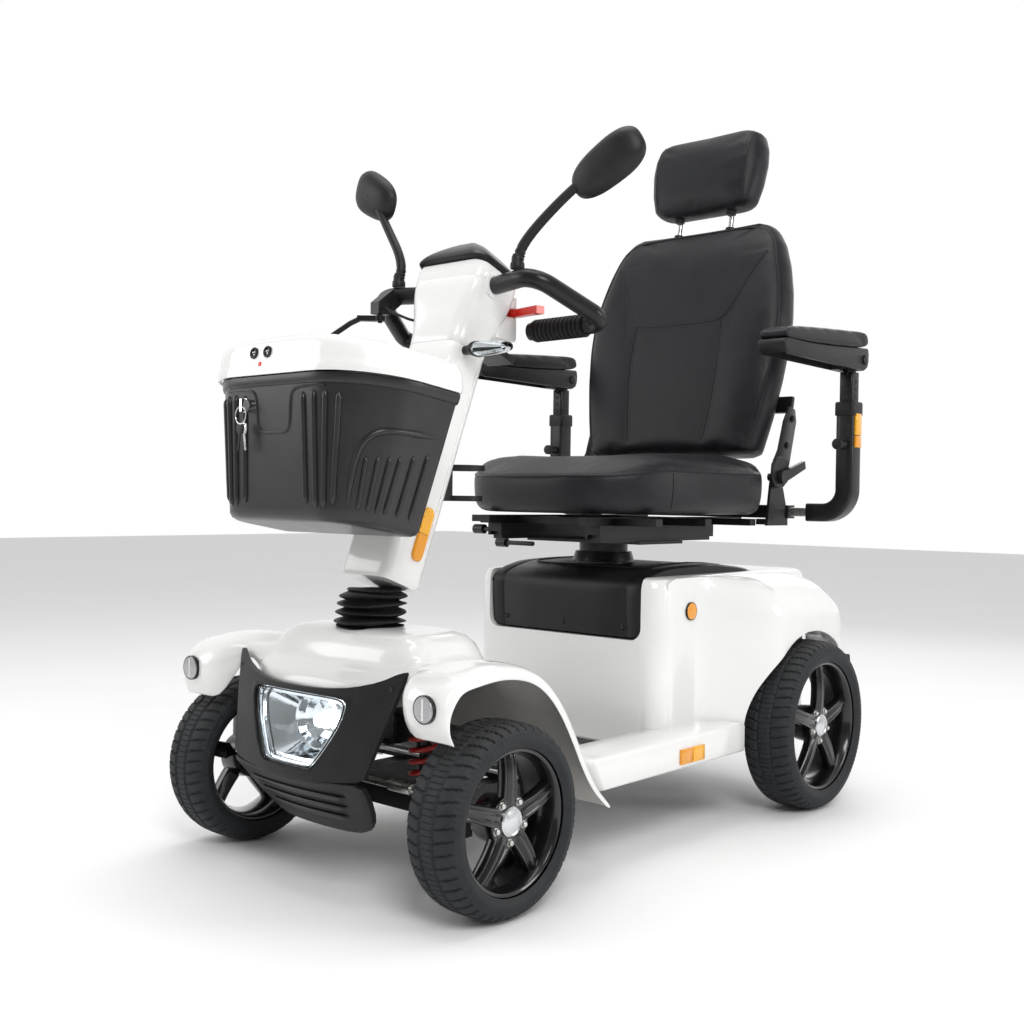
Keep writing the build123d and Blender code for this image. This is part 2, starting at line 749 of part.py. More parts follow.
def handlebars():
    """Wrap-round bar on both sides, ribbed foam grips, and the cup holder."""
    with BuildPart() as bar:
        for side in (-1, 1):
            route = [
                (side * (LOOP_X + 2.5), -238, 1001), (side * 192, -262, 1005), (side * 252, -130, 934),
                (side * LOOP_X, -140, 931),
            ]
            add(tube_path(route, [45, 22], 16))
        with BuildSketch(side_plane(LEVER_PIVOT[0] - 11)):
            Polygon((-276, 1012), (-250, 990), (-284, 963.4), (-312, 963.4), (-312, 985), align=None)
        extrude(amount=22)
        with BuildSketch(Plane.XY.offset(948)):
            with Locations(LEVER_PIVOT):
                Circle(4)
        extrude(amount=20)
    save(bar, "handlebar")
    with BuildPart() as grips:
        for side in (-1, 1):
            start = Vector(side * 206, -132.74, 933.18)
            along = Vector(side * -168, -10, -3).normalized()
            plane = Plane(origin=start, z_dir=along)
            with BuildSketch(plane):
                Circle(19)
                Circle(16.3, mode=Mode.SUBTRACT)
            extrude(amount=112)
            for step in range(12):
                with BuildSketch(plane.offset(2 + step * 9.2)):
                    Circle(20.5)
                    Circle(16.3, mode=Mode.SUBTRACT)
                extrude(amount=5)
    save(grips, "grips")
    with BuildPart() as holder:
        ring_centre = (0, -230, 676)
        for z, bore in ((ring_centre[2], 38), (ring_centre[2] - 55, 34)):
            with BuildSketch(Plane.XY.offset(z)):
                with Locations((0, ring_centre[1])):
                    Circle(bore + 5)
                    Circle(bore, mode=Mode.SUBTRACT)
            extrude(amount=10)
        with BuildSketch(side_plane(-12)):
            Polygon((-322.8, 621), (-298.2, 686), (-264, 686), (-264, 621), align=None)
        extrude(amount=24)
        with BuildSketch(Plane.XY.offset(ring_centre[2] - 55)):
            with Locations((0, ring_centre[1])):
                Rectangle(70, 8)
        extrude(amount=6)
    save(holder, "cup_holder")


def tiller_fittings():
    """Amber side strips, turn indicators on stems, brake lever clamp cable and tilt paddle."""
    with BuildPart() as strips:
        for side in (-1, 1):
            with BuildSketch(Plane(origin=tiller_point(side * 59.2, 10, 90), x_dir=(0, TILLER.z_dir.Y, TILLER.z_dir.Z),
                                   z_dir=(side, 0, 0))):
                SlotOverall(96, 26)
            extrude(amount=5)
    save(strips, "tiller_reflectors")
    with BuildPart() as indicators:
        for side in (-1, 1):
            with BuildSketch(side_plane(side * 68)):
                with Locations((-287, 884)):
                    Circle(8)
            extrude(amount=side * 22)
            with BuildSketch(side_plane(side * 88)):
                with Locations((-288, 884)):
                    Ellipse(26, 14)
            with BuildSketch(side_plane(side * 168)):
                with Locations((-290, 886)):
                    Ellipse(17, 9)
            loft()
    save(indicators, "indicators")
    with BuildPart() as paddle:
        with BuildSketch(side_plane(-32)):
            with Locations((PADDLE_Y, PADDLE_Z)):
                Circle(7)
            Polygon((-177, 896), (-128, 876), (-122, 886), (-175, 910), align=None)
        extrude(amount=64)
        with BuildSketch(side_plane(-33)):
            with Locations((PADDLE_Y, PADDLE_Z)):
                Circle(3 + RUN)
        extrude(amount=66, mode=Mode.SUBTRACT)
    save(paddle, "tilt_paddle")


def controls():
    """Red throttle levers, brake lever with its cable, speed dial and horn button."""
    with BuildPart() as throttle:
        with BuildSketch(Plane.XY.offset(956)):
            Polygon((-76, -167), (-76, -153), (76, -153), (76, -167), align=None)
            for side in (-1, 1):
                Polygon((side * 70, -153), (side * 134, -162), (side * 131, -180), (side * 70, -167), align=None)
        extrude(amount=14)
        with BuildSketch(Plane.XY.offset(955)):
            with Locations((0, THROTTLE_Y)):
                Circle(4 + RUN)
        extrude(amount=16, mode=Mode.SUBTRACT)
    save(throttle, "throttle_lever")
    with BuildPart() as lever:
        with BuildSketch(Plane.XY.offset(951)):
            with Locations(LEVER_PIVOT):
                Circle(10)
            Polygon((-150, -308), (-176, -330), (-182, -320), (-152, -290), align=None)
        extrude(amount=10)
        add(tube_path([(-174, -322, 956), (-196, -328, 948), (-232, -342, 926)], 16, 5))
        with BuildSketch(Plane.XY.offset(950)):
            with Locations(LEVER_PIVOT):
                Circle(4 + RUN)
        extrude(amount=14, mode=Mode.SUBTRACT)
    save(lever, "brake_lever")
    for name, across, radius, height in (("speed_dial", -34, 14, 12), ("horn_button", 34, 9, 6)):
        with BuildPart() as knob:
            with BuildSketch(CONSOLE):
                with Locations((across, 0)):
                    Circle(radius)
            extrude(amount=height)
        save(knob, name)


def brake_cable():
    """Sheathed cable from the brake lever's adjuster down into the tiller column."""
    route = [(-134, -299, 974), (-118, -297, 966), (-102, -288, 958), (-93, -278, 953), (-85, -266, 950)]
    radii = []
    for before, point, after in zip(route, route[1:], route[2:]):
        first = Vector(point) - Vector(before)
        second = Vector(after) - Vector(point)
        half_turn = radians(first.get_angle(second)) / 2
        radii.append(0.45 * min(first.length, second.length) * cos(half_turn) / sin(half_turn))
    print("brake cable bend radii", [round(r, 1) for r in radii])
    with BuildPart() as cable:
        add(tube_path(route, radii, 2.5))
    save(cable, "brake_cable")


def mirrors():
    """Round mirrors on bent stalks; each head's glass faces the rider."""
    shapes = (
        (1, "left", (156, -249, 1066), (250, -242, 1136), (332, -240, 1174), 73, 46),
        (-1, "right", (-140, -250, 1068), (-196, -240, 1142), (-243, -234, 1208), 62, 42),
    )
    for side, hand, elbow, neck, head, long_half, short_half in shapes:
        foot = (side * MIRROR_X, MIRROR_Y, MIRROR_Z)
        facing = Plane(origin=head, x_dir=(side * 0.88, 0, 0.47), z_dir=(side * -0.12, 0.99, 0.1))
        with BuildPart() as mirror:
            with BuildSketch(Plane(origin=foot, z_dir=(0, 0, 1))):
                Circle(12)
            extrude(amount=26, taper=6)
            add(tube_path([(foot[0], foot[1], MIRROR_Z + 8), elbow, neck, head], [14, 24], 6.5))
            with BuildSketch(facing.offset(-12)):
                Ellipse(long_half - 20, short_half - 14)
            with BuildSketch(facing.offset(6)):
                Ellipse(long_half, short_half)
            loft()
            with BuildSketch(facing.offset(6)):
                Ellipse(long_half, short_half)
            extrude(amount=6)
        save(mirror, f"mirror_{hand}")


# ---------------------------------------------------------------- basket
def tilted(origin, degrees):
    """Plane nearly level whose forward (-Y) edge rises by the given angle."""
    return Plane(origin=origin, x_dir=(1, 0, 0), z_dir=(0, sin(radians(degrees)), cos(radians(degrees))))


def basket_outline(half, depth, front_radius, inset=0.0):
    """Plan of the basket: square rear corners and large round front ones, shrunk by an inset."""
    rear = 14
    with BuildSketch(mode=Mode.PRIVATE) as plan:
        with BuildLine():
            Polyline((-half + inset, -inset), (half - inset, -inset), (half - inset, -depth / 2))
            Line((half - inset, -depth / 2), (half - inset, -depth + front_radius))
            ThreePointArc(
                (half - inset, -depth + front_radius),
                (half - front_radius + (front_radius - inset) * ROOT, -depth + front_radius - (front_radius - inset) * ROOT),
                (half - front_radius, -depth + inset),
            )
            Line((half - front_radius, -depth + inset), (front_radius - half, -depth + inset))
            ThreePointArc(
                (front_radius - half, -depth + inset),
                (front_radius - half - (front_radius - inset) * ROOT, -depth + front_radius - (front_radius - inset) * ROOT),
                (-half + inset, -depth + front_radius),
            )
            Line((-half + inset, -depth + front_radius), (-half + inset, -inset))
        make_face()
        fillet(plan.vertices().group_by(Axis.Y)[-1], rear - inset)
    return plan.sketch


def basket():
    """Tapered tub hung on the tiller, its domed lid, and the lock with its key."""
    top = tilted((0, -446, 788), 7)
    foot = tilted((0, -490, 562), 10)
    with BuildPart() as tub:
        with BuildSketch(foot):
            add(basket_outline(166, 158, 50))
        with BuildSketch(top):
            add(basket_outline(210, 208, 112))
        loft()
        with BuildSketch(foot.offset(5)):
            add(basket_outline(166, 158, 50, WALL))
        with BuildSketch(top.offset(1)):
            add(basket_outline(210, 208, 112, WALL))
        loft(mode=Mode.SUBTRACT)
        for x in (-32, 32):
            with BuildSketch(side_plane(x - 6)):
                Polygon((-472.5, 660), (-457, 740), (-377, 740), (-407.6, 660), align=None)
            extrude(amount=12)
        with BuildSketch(front_plane(-610)):
            with Locations((LOCK_X, LOCK_Z)):
                Circle(11.3)
        extrude(amount=60, mode=Mode.SUBTRACT)
    save(tub, "basket_tub")
    with BuildPart() as lid:
        with BuildSketch(top.offset(0.4)):
            add(basket_outline(216, 214, 116))
        extrude(amount=18)
        with BuildSketch(top.offset(18)):
            add(basket_outline(216, 214, 116))
        with BuildSketch(top.offset(64)):
            with Locations((0, -24)):
                add(basket_outline(150, 150, 80))
        loft()
        with BuildSketch(top):
            add(basket_outline(204, 202, 108))
        extrude(amount=16, mode=Mode.SUBTRACT)
    save(lid, "basket_lid")
    with BuildPart() as key:
        with BuildSketch(front_plane(-645)):
            with Locations((LOCK_X, LOCK_Z)):
                Circle(11)
        extrude(amount=14)
        with BuildSketch(front_plane(-659)):
            with Locations((LOCK_X, LOCK_Z)):
                Rectangle(5, 20)
        extrude(amount=9)
    save(key, "lock_key")


# ---------------------------------------------------------------- seat
def seat_mount():
    """Swivel base with its lower rails, the sliding seat frame, and their release levers."""
    with BuildPart() as base:
        with BuildSketch(Plane.XY.offset(503)):
            with Locations((0, SEAT_Y)):
                Circle(64)
        extrude(amount=18, taper=18)
        with BuildSketch(Plane.XY.offset(521)):
            with Locations((0, SEAT_Y)):
                Circle(50)
        extrude(amount=20)
        with BuildSketch(Plane.XY.offset(404)):
            with Locations((0, SEAT_Y)):
                Circle(20)
        extrude(amount=100)
        with BuildSketch(Plane.XY.offset(540)):
            with Locations((0, SEAT_Y)):
                Rectangle(290, 150)
        extrude(amount=6)
        with BuildSketch(Plane.XY.offset(545.5)):
            with Locations((-RAIL_X, SEAT_Y), (RAIL_X, SEAT_Y)):
                Rectangle(24, 380)
        extrude(amount=14.5)
    save(base, "seat_base")
    with BuildPart() as frame:
        for x in (-RAIL_X, RAIL_X):
            with BuildSketch(front_plane(0)):
                with Locations((x, 565.5)):
                    Rectangle(36, 25)
                with Locations((x, 556)):
                    Rectangle(24.8, 9, mode=Mode.SUBTRACT)
            extrude(amount=-395)
            with BuildSketch(Plane.XY.offset(577.8)):
                with Locations((x, 245)):
                    Rectangle(24, 550)
            extrude(amount=16)
        for y in (60, 230, 400):
            with BuildSketch(Plane.XY.offset(577.8)):
                with Locations((0, y)):
                    Rectangle(470, 22)
            extrude(amount=14)
        with BuildSketch(side_plane(-256)):
            with Locations((ARM_Y, ARM_Z)):
                Rectangle(28, 28)
        extrude(amount=512)
        for side in (-1, 1):
            with BuildSketch(side_plane(side * 246)):
                Polygon((430, 578), (516, 578), (516, 600), (484, 684), (466, 694), (448, 684), (440, 640), align=None)
            extrude(amount=side * 6)
            with BuildSketch(side_plane(side * 225)):
                with Locations((455, 586)):
                    Rectangle(50, 12)
            extrude(amount=side * 26)
            with BuildSketch(side_plane(side * 236)):
                with Locations((RECLINE_Y, RECLINE_Z)):
                    Circle(8)
            extrude(amount=side * 27)
        with BuildSketch(side_plane(-260)):
            with Locations((ARM_Y, ARM_Z)):
                Rectangle(19.6, 19.6)
        extrude(amount=520, mode=Mode.SUBTRACT)
    save(frame, "seat_frame")
    for name, y, z, reach in (("slide_lever", 56, 562, 205), ("swivel_lever", 150, 531, 225)):
        with BuildPart() as lever:
            with BuildSketch(side_plane(-150)):
                with Locations((y, z)):
                    Circle(5)
            extrude(amount=-(reach - 150))
            with BuildSketch(side_plane(-reach)):
                with Locations((y, z)):
                    Circle(10)
            extrude(amount=-26)
        save(lever, name)


def seat_soft_parts():
    """Seat cushion, reclining backrest on its side plates, and the headrest on two posts."""
    with BuildPart() as cushion:
        with BuildSketch(Plane.XY.offset(596)) as plan:
            with BuildLine():
                Polyline((-250, 436), (250, 436), (262, 300), (253, 90), (176, -46), (-176, -46), (-253, 90),
                         (-262, 300), close=True)
            make_face()
            fillet(plan.vertices(), 40)
        extrude(amount=118)
        fillet(cushion.faces().sort_by(Axis.Z)[-1].edges(), 28)
    save(cushion, "seat_cushion")
    with BuildPart() as backrest:
        with BuildSketch(BACK.offset(0)):
            with Locations((0, -6)):
                RectangleRounded(448, 92, 34)
        with BuildSketch(BACK.offset(290)):
            with Locations((0, -10)):
                RectangleRounded(500, 100, 38)
        with BuildSketch(BACK.offset(530)):
            RectangleRounded(390, 64, 26)
        loft()
        with BuildSketch(BACK.offset(424)):
            with Locations((-69, 0), (69, 0)):
                Circle(6 + RUN)
        extrude(amount=130, mode=Mode.SUBTRACT)
    save(backrest, "backrest")
    with BuildPart() as plates:
        for side in (-1, 1):
            with BuildSketch(side_plane(side * 252.6)):
                with Locations((RECLINE_Y, RECLINE_Z)):
                    Circle(20)
                Polygon((RECLINE_Y - 18, 688), (RECLINE_Y + 18, 676), (546, 880), (514, 888), align=None)
            extrude(amount=side * 6)
            with BuildSketch(side_plane(side * 252.6)):
                with Locations((RECLINE_Y, RECLINE_Z)):
                    Circle(8 + RUN)
            extrude(amount=side * 6, mode=Mode.SUBTRACT)
            with BuildSketch(BACK.offset(110)):
                with Locations((side * 150, 50)):
                    Rectangle(214, 12)
            extrude(amount=40)
    save(plates, "back_frame")
    with BuildPart() as lever:
        with BuildSketch(side_plane(265)):
            with Locations((RECLINE_Y, RECLINE_Z)):
                Circle(14)
            Polygon((RECLINE_Y, 668), (RECLINE_Y, 692), (548, 716), (552, 700), align=None)
        extrude(amount=9)
    save(lever, "recline_lever")
    with BuildPart() as headrest:
        with BuildSketch(BACK.offset(572)):
            with Locations((0, -10)):
                RectangleRounded(262, 80, 32)
        with BuildSketch(BACK.offset(680)):
            with Locations((0, -12)):
                RectangleRounded(292, 92, 38)
        with BuildSketch(BACK.offset(762)):
            with Locations((0, -10)):
                RectangleRounded(246, 64, 28)
        loft()
        with BuildSketch(BACK.offset(430)):
            with Locations((-69, 0), (69, 0)):
                Circle(6)
        extrude(amount=150)
    save(headrest, "headrest")


def armrests():
    """Telescoping arm posts in the seat frame, and the flip-up arm pads on their pivots."""
    for side, hand in ((1, "left"), (-1, "right")):
        with BuildPart() as post:
            with BuildSketch(side_plane(side * 40)):
                with Locations((ARM_Y, ARM_Z)):
                    Rectangle(19, 19)
            extrude(amount=side * 340)
            with BuildSketch(side_plane(side * 300)):
                with Locations((ARM_Y, ARM_Z)):
                    Rectangle(42, 38)
            extrude(amount=side * 100)
            with BuildSketch(Plane.XY.offset(ARM_Z - 19)):
                with Locations((side * ARM_X, ARM_Y)):
                    Rectangle(40, 42)
            extrude(amount=310)
            with BuildSketch(side_plane(side * ARM_X - 6)):
                with Locations((ARM_PIVOT_Y, ARM_PIVOT_Z)):
                    Circle(14)
                Polygon((501, 890), (541, 890), (545, 918), (527, 934), (513, 922), align=None)
            extrude(amount=12)
            with BuildSketch(side_plane(side * ARM_X - 18)):
                with Locations((ARM_PIVOT_Y, ARM_PIVOT_Z)):
                    Circle(5)
            extrude(amount=36)
        save(post, f"arm_post_{hand}")
        with BuildPart() as pad:
            with BuildSketch(side_plane(side * ARM_X - 31)):
                Polygon((198, 922), (212, 904), (300, 903), (532, 899), (546, 906), (552, 918), (555, 970), (539, 982),
                        (212, 956), align=None)
            extrude(amount=62)
            with BuildSketch(side_plane(side * ARM_X - 23)):
                Polygon((206, 936), (206, 880), (480, 880), (480, 932), (230, 938), align=None)
            extrude(amount=46, mode=Mode.SUBTRACT)
            with BuildSketch(side_plane(side * ARM_X - 7)):
                with Locations((ARM_PIVOT_Y - 6, ARM_PIVOT_Z - 4)):
                    Rectangle(80, 48)
            extrude(amount=14, mode=Mode.SUBTRACT)
            with BuildSketch(side_plane(side * ARM_X - 20)):
                with Locations((ARM_PIVOT_Y, ARM_PIVOT_Z)):
                    Circle(5 + RUN)
            extrude(amount=40, mode=Mode.SUBTRACT)
        save(pad, f"arm_pad_{hand}")


if __name__ == "__main__":
    wheels()
    chassis()
    power_train()
    front_suspension()
    knuckles()
    steering()
    bellows()
    front_shell()
    deck()
    rear_shell()
    seat_box_cover()
    nose_panels()
    lights_and_reflectors()
    tiller_body()
    handlebars()
    tiller_fittings()
    controls()
    brake_cable()
    mirrors()
    basket()
    seat_mount()
    seat_soft_parts()
    armrests()
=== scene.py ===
import json
import math

import bmesh
import bpy
from mathutils import Matrix, Vector
from mathutils.bvhtree import BVHTree


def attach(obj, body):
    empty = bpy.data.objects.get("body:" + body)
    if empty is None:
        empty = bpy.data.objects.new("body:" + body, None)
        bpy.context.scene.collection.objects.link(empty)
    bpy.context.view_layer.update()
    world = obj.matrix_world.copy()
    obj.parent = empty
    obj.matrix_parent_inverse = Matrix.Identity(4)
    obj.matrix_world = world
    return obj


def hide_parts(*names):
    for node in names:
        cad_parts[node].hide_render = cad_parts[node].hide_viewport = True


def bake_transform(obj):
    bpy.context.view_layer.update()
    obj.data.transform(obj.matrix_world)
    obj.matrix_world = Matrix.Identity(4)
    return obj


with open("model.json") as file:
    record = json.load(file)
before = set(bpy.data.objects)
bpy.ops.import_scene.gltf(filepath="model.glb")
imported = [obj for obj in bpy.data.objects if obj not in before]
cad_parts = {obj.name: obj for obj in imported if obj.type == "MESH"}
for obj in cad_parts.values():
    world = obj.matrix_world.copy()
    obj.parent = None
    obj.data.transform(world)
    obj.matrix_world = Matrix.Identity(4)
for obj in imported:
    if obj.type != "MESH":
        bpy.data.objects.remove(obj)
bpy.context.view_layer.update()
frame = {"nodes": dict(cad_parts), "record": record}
RECORD = frame["record"]

# ---------------------------------------------------------------- driving sizes, in metres
FRONT = dict(x=0.305, y=-0.464, radius=0.147, width=0.101, rim=0.110)
REAR = dict(x=0.3275, y=0.464, radius=0.172, width=0.106, rim=0.130)
LEAN = math.radians(20.9)
FOOT = Vector((0, -0.425, 0.484))
BACK_LEAN = math.radians(12)
BACK_FOOT = Vector((0, 0.455, 0.720))
NOSE_Y = -0.072
NOSE_R = 0.5195
NOSE_SPREAD = 0.034
NOSE_TUCK = 0.080
SIDES = ((1, "left"), (-1, "right"))

# ---------------------------------------------------------------- camera and floor
AZIMUTH, ELEVATION, ROLL = (math.radians(a) for a in (41.472, 0.683, 0.838))
EYE = (1.51704, -1.80561, 0.62871)
SENSOR, LENS = 36, 42.36328125
FLOOR_HALF = 14


# ---------------------------------------------------------------- materials
def shader(name, colour, rough, metal=0.0, vary=0.06, rough_vary=0.06, cell=90.0, bump=0.0,
           bump_scale=600.0,
           coat=0.0, spec=0.5, emission=None, transmission=0.0, ior=1.5, grain="noise", upward_tint=None):
    """Procedural material: colour and roughness drift with noise, and a fine relief from noise or cells."""
    material = bpy.data.materials.new(name)
    material.use_nodes = True
    nodes = material.node_tree.nodes
    links = material.node_tree.links
    surface = nodes["Principled BSDF"]
    place = nodes.new("ShaderNodeTexCoord")
    drift = nodes.new("ShaderNodeTexNoise")
    drift.inputs["Scale"].default_value = cell
    drift.inputs["Detail"].default_value = 4
    links.new(place.outputs["Object"], drift.inputs["Vector"])
    ramp = nodes.new("ShaderNodeValToRGB")
    low = [max(0, c * (1 - vary)) for c in colour]
    high = [min(1, c * (1 + vary)) for c in colour]
    ramp.color_ramp.elements[0].position = 0.3
    ramp.color_ramp.elements[1].position = 0.7
    ramp.color_ramp.elements[0].color = (*low, 1)
    ramp.color_ramp.elements[1].color = (*high, 1)
    links.new(drift.outputs["Fac"], ramp.inputs["Fac"])
    last = ramp.outputs["Color"]
    if upward_tint is not None:
        last = paler_facing_up(nodes, links, last, upward_tint)
    links.new(last, surface.inputs["Base Color"])
    spread = nodes.new("ShaderNodeMapRange")
    spread.inputs["To Min"].default_value = max(0.02, rough - rough_vary)
    spread.inputs["To Max"].default_value = min(1, rough + rough_vary)
    links.new(drift.outputs["Fac"], spread.inputs["Value"])
    links.new(spread.outputs["Result"], surface.inputs["Roughness"])
    surface.inputs["Metallic"].default_value = metal
    surface.inputs["IOR"].default_value = ior
    surface.inputs["Specular IOR Level"].default_value = spec
    if coat:
        surface.inputs["Coat Weight"].default_value = coat
        surface.inputs["Coat Roughness"].default_value = 0.06
    if transmission:
        surface.inputs["Transmission Weight"].default_value = transmission
    if emission is not None:
        surface.inputs["Emission Color"].default_value = (*emission[:3], 1)
        surface.inputs["Emission Strength"].default_value = emission[3]
    if bump:
        relief = nodes.new("ShaderNodeBump")
        relief.inputs["Strength"].default_value = bump
        relief.inputs["Distance"].default_value = 0.0006
        if grain == "cells":
            texture = nodes.new("ShaderNodeTexVoronoi")
            texture.inputs["Scale"].default_value = bump_scale
            source = texture.outputs["Distance"]
        else:
            texture = nodes.new("ShaderNodeTexNoise")
            texture.inputs["Scale"].default_value = bump_scale
            texture.inputs["Detail"].default_value = 3
            source = texture.outputs["Fac"]
        links.new(place.outputs["Object"], texture.inputs["Vector"])
        links.new(source, relief.inputs["Height"])
        links.new(relief.outputs["Normal"], surface.inputs["Normal"])
    return material


def paler_facing_up(nodes, links, colour, upward_tint):
    """Mix a paler colour into the colour where the surface faces up, broken up by noise."""
    geometry = nodes.new("ShaderNodeNewGeometry")
    split = nodes.new("ShaderNodeSeparateXYZ")
    patch = nodes.new("ShaderNodeTexNoise")
    patch.inputs["Scale"].default_value = 14
    amount = nodes.new("ShaderNodeMath")
    amount.operation = "MULTIPLY"
    mix = nodes.new("ShaderNodeMixRGB")
    mix.inputs["Color2"].default_value = (*upward_tint, 1)
    links.new(geometry.outputs["Normal"], split.inputs["Vector"])
    limit = nodes.new("ShaderNodeMapRange")
    limit.inputs["From Min"].default_value = 0.2
    limit.inputs["From Max"].default_value = 1.0
    limit.inputs["To Max"].default_value = 0.35
    links.new(split.outputs["Z"], limit.inputs["Value"])
    links.new(limit.outputs["Result"], amount.inputs[0])
    links.new(patch.outputs["Fac"], amount.inputs[1])
    links.new(amount.outputs["Value"], mix.inputs["Fac"])
    links.new(colour, mix.inputs["Color1"])
    return mix.outputs["Color"]


MATS = {
    "white_shell": shader("white_shell", (0.84, 0.84, 0.825), 0.16, vary=0.012, rough_vary=0.04, cell=6,
                          coat=0.5,
                          bump=0.02, bump_scale=240),
    "grey_liner": shader("grey_liner", (0.50, 0.49, 0.46), 0.55, vary=0.08, cell=25, bump=0.12,
                         bump_scale=500),
    "black_plastic": shader("black_plastic", (0.012, 0.012, 0.013), 0.42, spec=0.30, vary=0.16, cell=30,
                            bump=0.18,
                            bump_scale=1500, grain="cells"),
    "black_satin": shader("black_satin", (0.010, 0.010, 0.011), 0.30, spec=0.32, vary=0.14, cell=40,
                          bump=0.06, bump_scale=1200),
    "frame_steel": shader("frame_steel", (0.008, 0.008, 0.009), 0.40, spec=0.30, vary=0.2, cell=60,
                          bump=0.12, bump_scale=900,
                          coat=0.2),
    "bright_steel": shader("bright_steel", (0.62, 0.61, 0.58), 0.30, metal=1.0, vary=0.12, rough_vary=0.12,
                           cell=70,
                           bump=0.1, bump_scale=700),
    # tyre: a paler colour is mixed in where the surface faces up, broken up by noise
    "tyre": shader("tyre", (0.021, 0.023, 0.026), 0.62, spec=0.25, vary=0.22, rough_vary=0.12, cell=45,
                   bump=0.3,
                   bump_scale=900, upward_tint=(0.12, 0.115, 0.10)),
    "tub_black": shader("tub_black", (0.018, 0.018, 0.019), 0.30, spec=0.45, vary=0.12, cell=30, bump=0.10,
                        bump_scale=1300, grain="cells"),
    "rim": shader("rim", (0.006, 0.006, 0.007), 0.24, spec=0.35, vary=0.2, cell=50, coat=0.6, bump=0.03,
                  bump_scale=900),
    "chrome": shader("chrome", (0.80, 0.80, 0.81), 0.08, metal=1.0, vary=0.05, rough_vary=0.05, cell=60),
    "silver": shader("silver", (0.66, 0.67, 0.68), 0.26, metal=1.0, vary=0.08, cell=80, bump=0.05,
                     bump_scale=900),
    "vinyl": shader("vinyl", (0.0075, 0.0080, 0.0100), 0.40, spec=0.33, vary=0.22, rough_vary=0.07, cell=22,
                    bump=0.42,
                    bump_scale=760, grain="cells"),
    "stitching": shader("stitching", (0.030, 0.031, 0.036), 0.75, vary=0.3, cell=400, bump=0.5,
                        bump_scale=2500),
    "rubber": shader("rubber", (0.010, 0.010, 0.011), 0.55, spec=0.28, vary=0.2, cell=60, bump=0.2,
                     bump_scale=1100),
    # mat: a paler colour is mixed in where the surface faces up, broken up by noise
    "floor_rubber": shader("floor_rubber", (0.045, 0.045, 0.046), 0.72, spec=0.25, vary=0.3, cell=140,
                           bump=0.5,
                           bump_scale=700, upward_tint=(0.2, 0.2, 0.19)),
    # amber reflectors are given a faint emission: a painted glow, as they are no lamps
    "amber": shader("amber", (0.78, 0.30, 0.003), 0.16, vary=0.2, cell=500, coat=0.8, bump=0.5,
                    bump_scale=420,
                    grain="cells", emission=(0.9, 0.36, 0.01, 0.04)),
    # paler, more strongly glowing copy of amber: a painted highlight used on one half of each reflector
    # strip
    "amber_pale": shader("amber_pale", (0.88, 0.40, 0.010), 0.16, vary=0.2, cell=500, coat=0.8, bump=0.5,
                         bump_scale=420, grain="cells", emission=(0.95, 0.42, 0.02, 0.05)),
    "reflector_grey": shader("reflector_grey", (0.40, 0.40, 0.41), 0.22, metal=0.5, vary=0.2, cell=600,
                             coat=0.8,
                             bump=0.6, bump_scale=500, grain="cells"),
    "red_lens": shader("red_lens", (0.45, 0.012, 0.012), 0.14, vary=0.2, cell=500, coat=0.8, bump=0.4,
                       bump_scale=400, grain="cells"),
    "clear_lens": shader("clear_lens", (0.97, 0.99, 1.0), 0.03, vary=0.0, rough_vary=0.01, transmission=1.0,
                         ior=1.2),
    "lamp_reflector": shader("lamp_reflector", (0.86, 0.90, 0.93), 0.10, metal=1.0, vary=0.05, cell=40,
                             bump=0.2, bump_scale=160, grain="cells"),
    "bulb": shader("bulb", (1.0, 0.99, 0.96), 0.3, vary=0.01, emission=(1.0, 0.99, 0.96, 14.0)),
    "spring_red": shader("spring_red", (0.42, 0.014, 0.012), 0.30, vary=0.14, cell=90, coat=0.4),
    "red_plastic": shader("red_plastic", (0.72, 0.022, 0.012), 0.26, vary=0.08, cell=90, coat=0.4),
    "battery": shader("battery", (0.10, 0.10, 0.11), 0.5, vary=0.1, cell=40, bump=0.1),
    "mirror_glass": shader("mirror_glass", (0.86, 0.88, 0.90), 0.02, metal=1.0, vary=0.01, rough_vary=0.01,
                           cell=5),
    # dark discs that stand for holes: painted shade
    "dark_gap": shader("dark_gap", (0.010, 0.010, 0.010), 0.7, vary=0.2, cell=40, bump=0.1),
    "white_mark": shader("white_mark", (0.85, 0.85, 0.84), 0.3, vary=0.03, cell=200, bump=0.1),
}


# ---------------------------------------------------------------- mesh tools
def finish_mesh(obj, angle=38):
    """Apply the modifiers and shade smooth with sharp edges kept."""
    graph = bpy.context.evaluated_depsgraph_get()
    mesh = bpy.data.meshes.new_from_object(obj.evaluated_get(graph))
    obj.modifiers.clear()
    obj.data = mesh
    mesh.shade_smooth()
    mesh.set_sharp_from_angle(angle=math.radians(angle))


